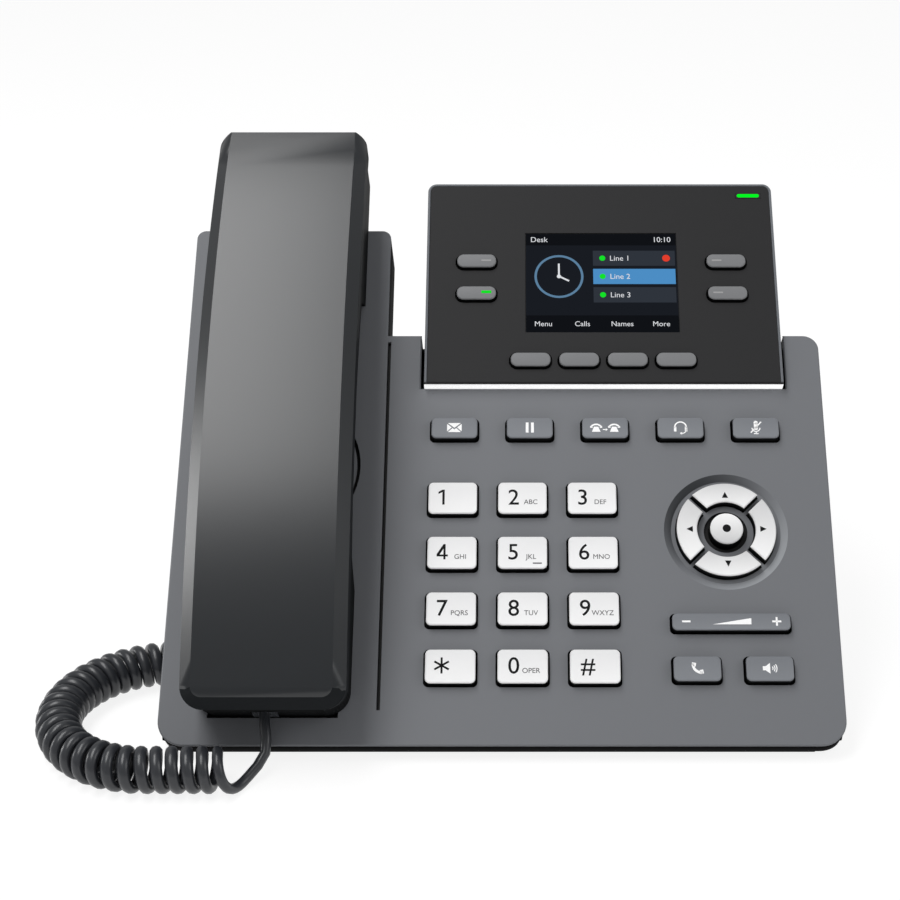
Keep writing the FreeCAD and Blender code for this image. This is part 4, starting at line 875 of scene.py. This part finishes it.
# %% [markdown]
# The screen is a plain layout of its own: a time line, a round clock at the left, a list at the right with
# one row picked out in blue, and words over the four soft keys. Each colour is one flat piece, and each
# layer lies just above the one before.

# %% Screen
SCREEN_X, SCREEN_Y, SCREEN_WIDE, SCREEN_HIGH = 32.75, 157.1, 50.5, 37.5
screen_level = deck_box("screen_module")[1].z
TOP_Y, FOOT_Y, ROWS = 16.5, -15.6, (9.3, 2.3, -4.7)
ROW_X, ROW_WIDE, ROW_HIGH, CLOCK_X, CLOCK_Y = 11, 27.5, 5.8, -14.2, 2.3
TEXT, FOOT_TEXT = 1.9, 1.8


def on_screen(name, drawings, colour, layer):
    """Drawings about the screen's middle, in a layer above the screen."""
    finish = shining("screen_" + name, colour)
    level = screen_level + INK * layer
    return printed("screen_" + name, drawings, SCREEN_X, SCREEN_Y, level, finish, "base")


rows = [bar(ROW_X, y, ROW_WIDE, ROW_HIGH) for y in ROWS]
hands = [bar(CLOCK_X, 4.6, 0.6, 5.2), bar(-12.6, 1.5, 4.0, 0.6, -28), disc(CLOCK_X, CLOCK_Y, 0.7)]
words = [lettering(f"Line {number}", 3, y, TEXT) for number, y in enumerate(ROWS, 1)]
words += [lettering("10:10", 23.5, TOP_Y, TEXT, start=1.0), lettering("Desk", -23.5, TOP_Y, TEXT)]
words += [lettering(word, x, FOOT_Y, FOOT_TEXT, start=0.5) for word, x in
          (("Menu", -19.5), ("Calls", -6.6), ("Names", 6.6), ("More", 19.5))]
on_screen("ground", [bar(0, 0, SCREEN_WIDE, SCREEN_HIGH)], (25, 28, 34), 1)
on_screen("bands", [bar(0, TOP_Y, SCREEN_WIDE, 4.5), bar(0, FOOT_Y, SCREEN_WIDE, 6.3)], (16, 18, 22), 2)
on_screen("rows", [rows[0], rows[2]], (47, 52, 60), 2)
on_screen("picked_row", [rows[1]], (76, 141, 196), 2)
on_screen("dial", [band(CLOCK_X, CLOCK_Y, 7.4, 8.2, 0, 360, 48)], (92, 128, 158), 2)
on_screen("hands", hands, (225, 228, 232), 3)
on_screen("marks", [disc(0.4, y, 1.0) for y in ROWS], (20, 226, 40), 3)
on_screen("words", words, (222, 224, 228), 3)
on_screen("count", [disc(21.8, ROWS[0], 1.3)], (226, 62, 44), 3)
print(len(words), "words on the screen")

# %% [markdown]
# ## The front edge
# The base ends in a dark shadow gap just above the desk. A thin dark apron behind the front wall stands
# in for that shadow as painted shade, so that no light shows under the telephone's front edge. It is a long
# wedge with three corners at each end.

# %% Painted-shade apron under the front wall
SKIRT, APRON_INSET = 6.6, 9
APRON_CORNERS = ((0.3, 0.5 - SKIRT), (0.3, -1.45 - SKIRT), (1.3, -1.45 - SKIRT))
APRON_FACES = [(0, 1, 4, 3), (1, 2, 5, 4), (2, 0, 3, 5), (0, 2, 1), (3, 4, 5)]
low, high = deck_box("rear_housing")
apron_places = [DECK @ Vector((x, along, level)) for x in (low.x + APRON_INSET, high.x - APRON_INSET)
                for along, level in APRON_CORNERS]
apron_mesh = bpy.data.meshes.new("front_shadow_apron")
apron_mesh.from_pydata(apron_places, [], APRON_FACES)
apron_mesh.materials.append(dark_plastic)
# A dark sheet that stands in for the shadow under the front edge
apron = bpy.data.objects.new("front_shadow_apron", apron_mesh)
scene.collection.objects.link(apron)
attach(apron, "base")
print("apron of", len(apron_mesh.polygons), "faces")

# %% [markdown]
# ## The cord in its place
# The cord crosses from the handset to the base. It could ride on one of them, but then it would tear off
# the other when the handset is lifted. So it rides on neither: it takes its vinyl, stands in place of the
# CAD model's cord pieces, which are hidden, and keeps its points in the desk's frame.

# %% Cord in place
cord.data.materials.append(cord_vinyl)
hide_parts(*[name for name in nodes if name.startswith("handset_cord")])
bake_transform(cord)

# %% [markdown]
# ## Light and floor
# The photograph is a studio picture on white. A long soft light hangs over the handset and gives it the
# pale sheen along its face. A small light from the left catches the handset's bevel, a fill comes from
# the right, and the world is white all round.


# %% Lamps and world
def soft_lamp(name, place, target, size, power):
    lamp = bpy.data.objects.new(name, bpy.data.lights.new(name, "AREA"))
    lamp.data.shape = "RECTANGLE"
    lamp.data.size, lamp.data.size_y = size
    lamp.data.energy = power
    lamp.location = place
    lamp.rotation_euler = (Vector(target) - Vector(place)).to_track_quat("-Z", "Y").to_euler()
    scene.collection.objects.link(lamp)


soft_lamp("overhead_light", place=(-0.33, -0.11, 1.0), target=(-0.33, 0.2, 0), size=(0.4, 0.9), power=7.2)
soft_lamp("side_light", place=(-1.0, 0.28, 0.14), target=(-0.07, 0, 0.08), size=(0.3, 0.2), power=1.3)
soft_lamp("fill_light", place=(1.0, -0.3, 0.7), target=(0, 0, 0.06), size=(0.6, 0.6), power=2.5)
WHITE_LIGHT, WORLD_STRENGTH = (1, 1, 1, 1), 0.42
world = bpy.data.worlds.new("studio")
world.use_nodes = True
scene.world = world
sky = world.node_tree.nodes["Background"]
sky.inputs["Color"].default_value = WHITE_LIGHT
sky.inputs["Strength"].default_value = WORLD_STRENGTH
print(len(bpy.data.lights), "lamps and a white world")

# %% [markdown]
# The floor is a plain pale sheet. More light would make it white, but would also bleach the telephone.
# So what the camera and mirrors see of the floor is lifted to white with Light Path, and the lamps stay at
# a level where colours look as written. A part of the lit floor stays in the mix and keeps the shadow.

# %% Floor
FLOOR, WHITE_SHARE, WHITE_STRENGTH = 40, 0.78, 1.1


def see_white(tree):
    """Mix plain white into what the camera and mirrors see of a material, and leave its light alone."""
    paths = tree.nodes.new("ShaderNodeLightPath")
    mirrored = computed(tree, "Math", "MAXIMUM", paths.outputs["Is Glossy Ray"],
                        paths.outputs["Is Transmission Ray"])
    seen = computed(tree, "Math", "MAXIMUM", paths.outputs["Is Camera Ray"], mirrored)
    white = tree.nodes.new("ShaderNodeEmission")
    white.inputs["Color"].default_value = WHITE_LIGHT
    white.inputs["Strength"].default_value = WHITE_STRENGTH
    mix = tree.nodes.new("ShaderNodeMixShader")
    tree.links.new(computed(tree, "Math", "MULTIPLY", seen, WHITE_SHARE), mix.inputs["Fac"])
    tree.links.new(tree.nodes["Principled BSDF"].outputs[0], mix.inputs[1])
    tree.links.new(white.outputs[0], mix.inputs[2])
    tree.links.new(mix.outputs[0], tree.nodes["Material Output"].inputs["Surface"])


floor_mesh = bpy.data.meshes.new("floor")
floor_corners = [(-FLOOR, -FLOOR, 0), (FLOOR, -FLOOR, 0), (FLOOR, FLOOR, 0), (-FLOOR, FLOOR, 0)]
floor_mesh.from_pydata(floor_corners, [], [(0, 1, 2, 3)])
floor = bpy.data.objects.new("floor", floor_mesh)
scene.collection.objects.link(floor)
floor_paper = plastic("floor_paper", (244, 244, 244), 0.9)
floor_mesh.materials.append(floor_paper)
see_white(floor_paper.node_tree)
print(f"a floor of {2 * FLOOR} m")

# %% [markdown]
# ## View
# The Standard view shows colours as they are written.

# %% View
scene.view_settings.view_transform = "Standard"
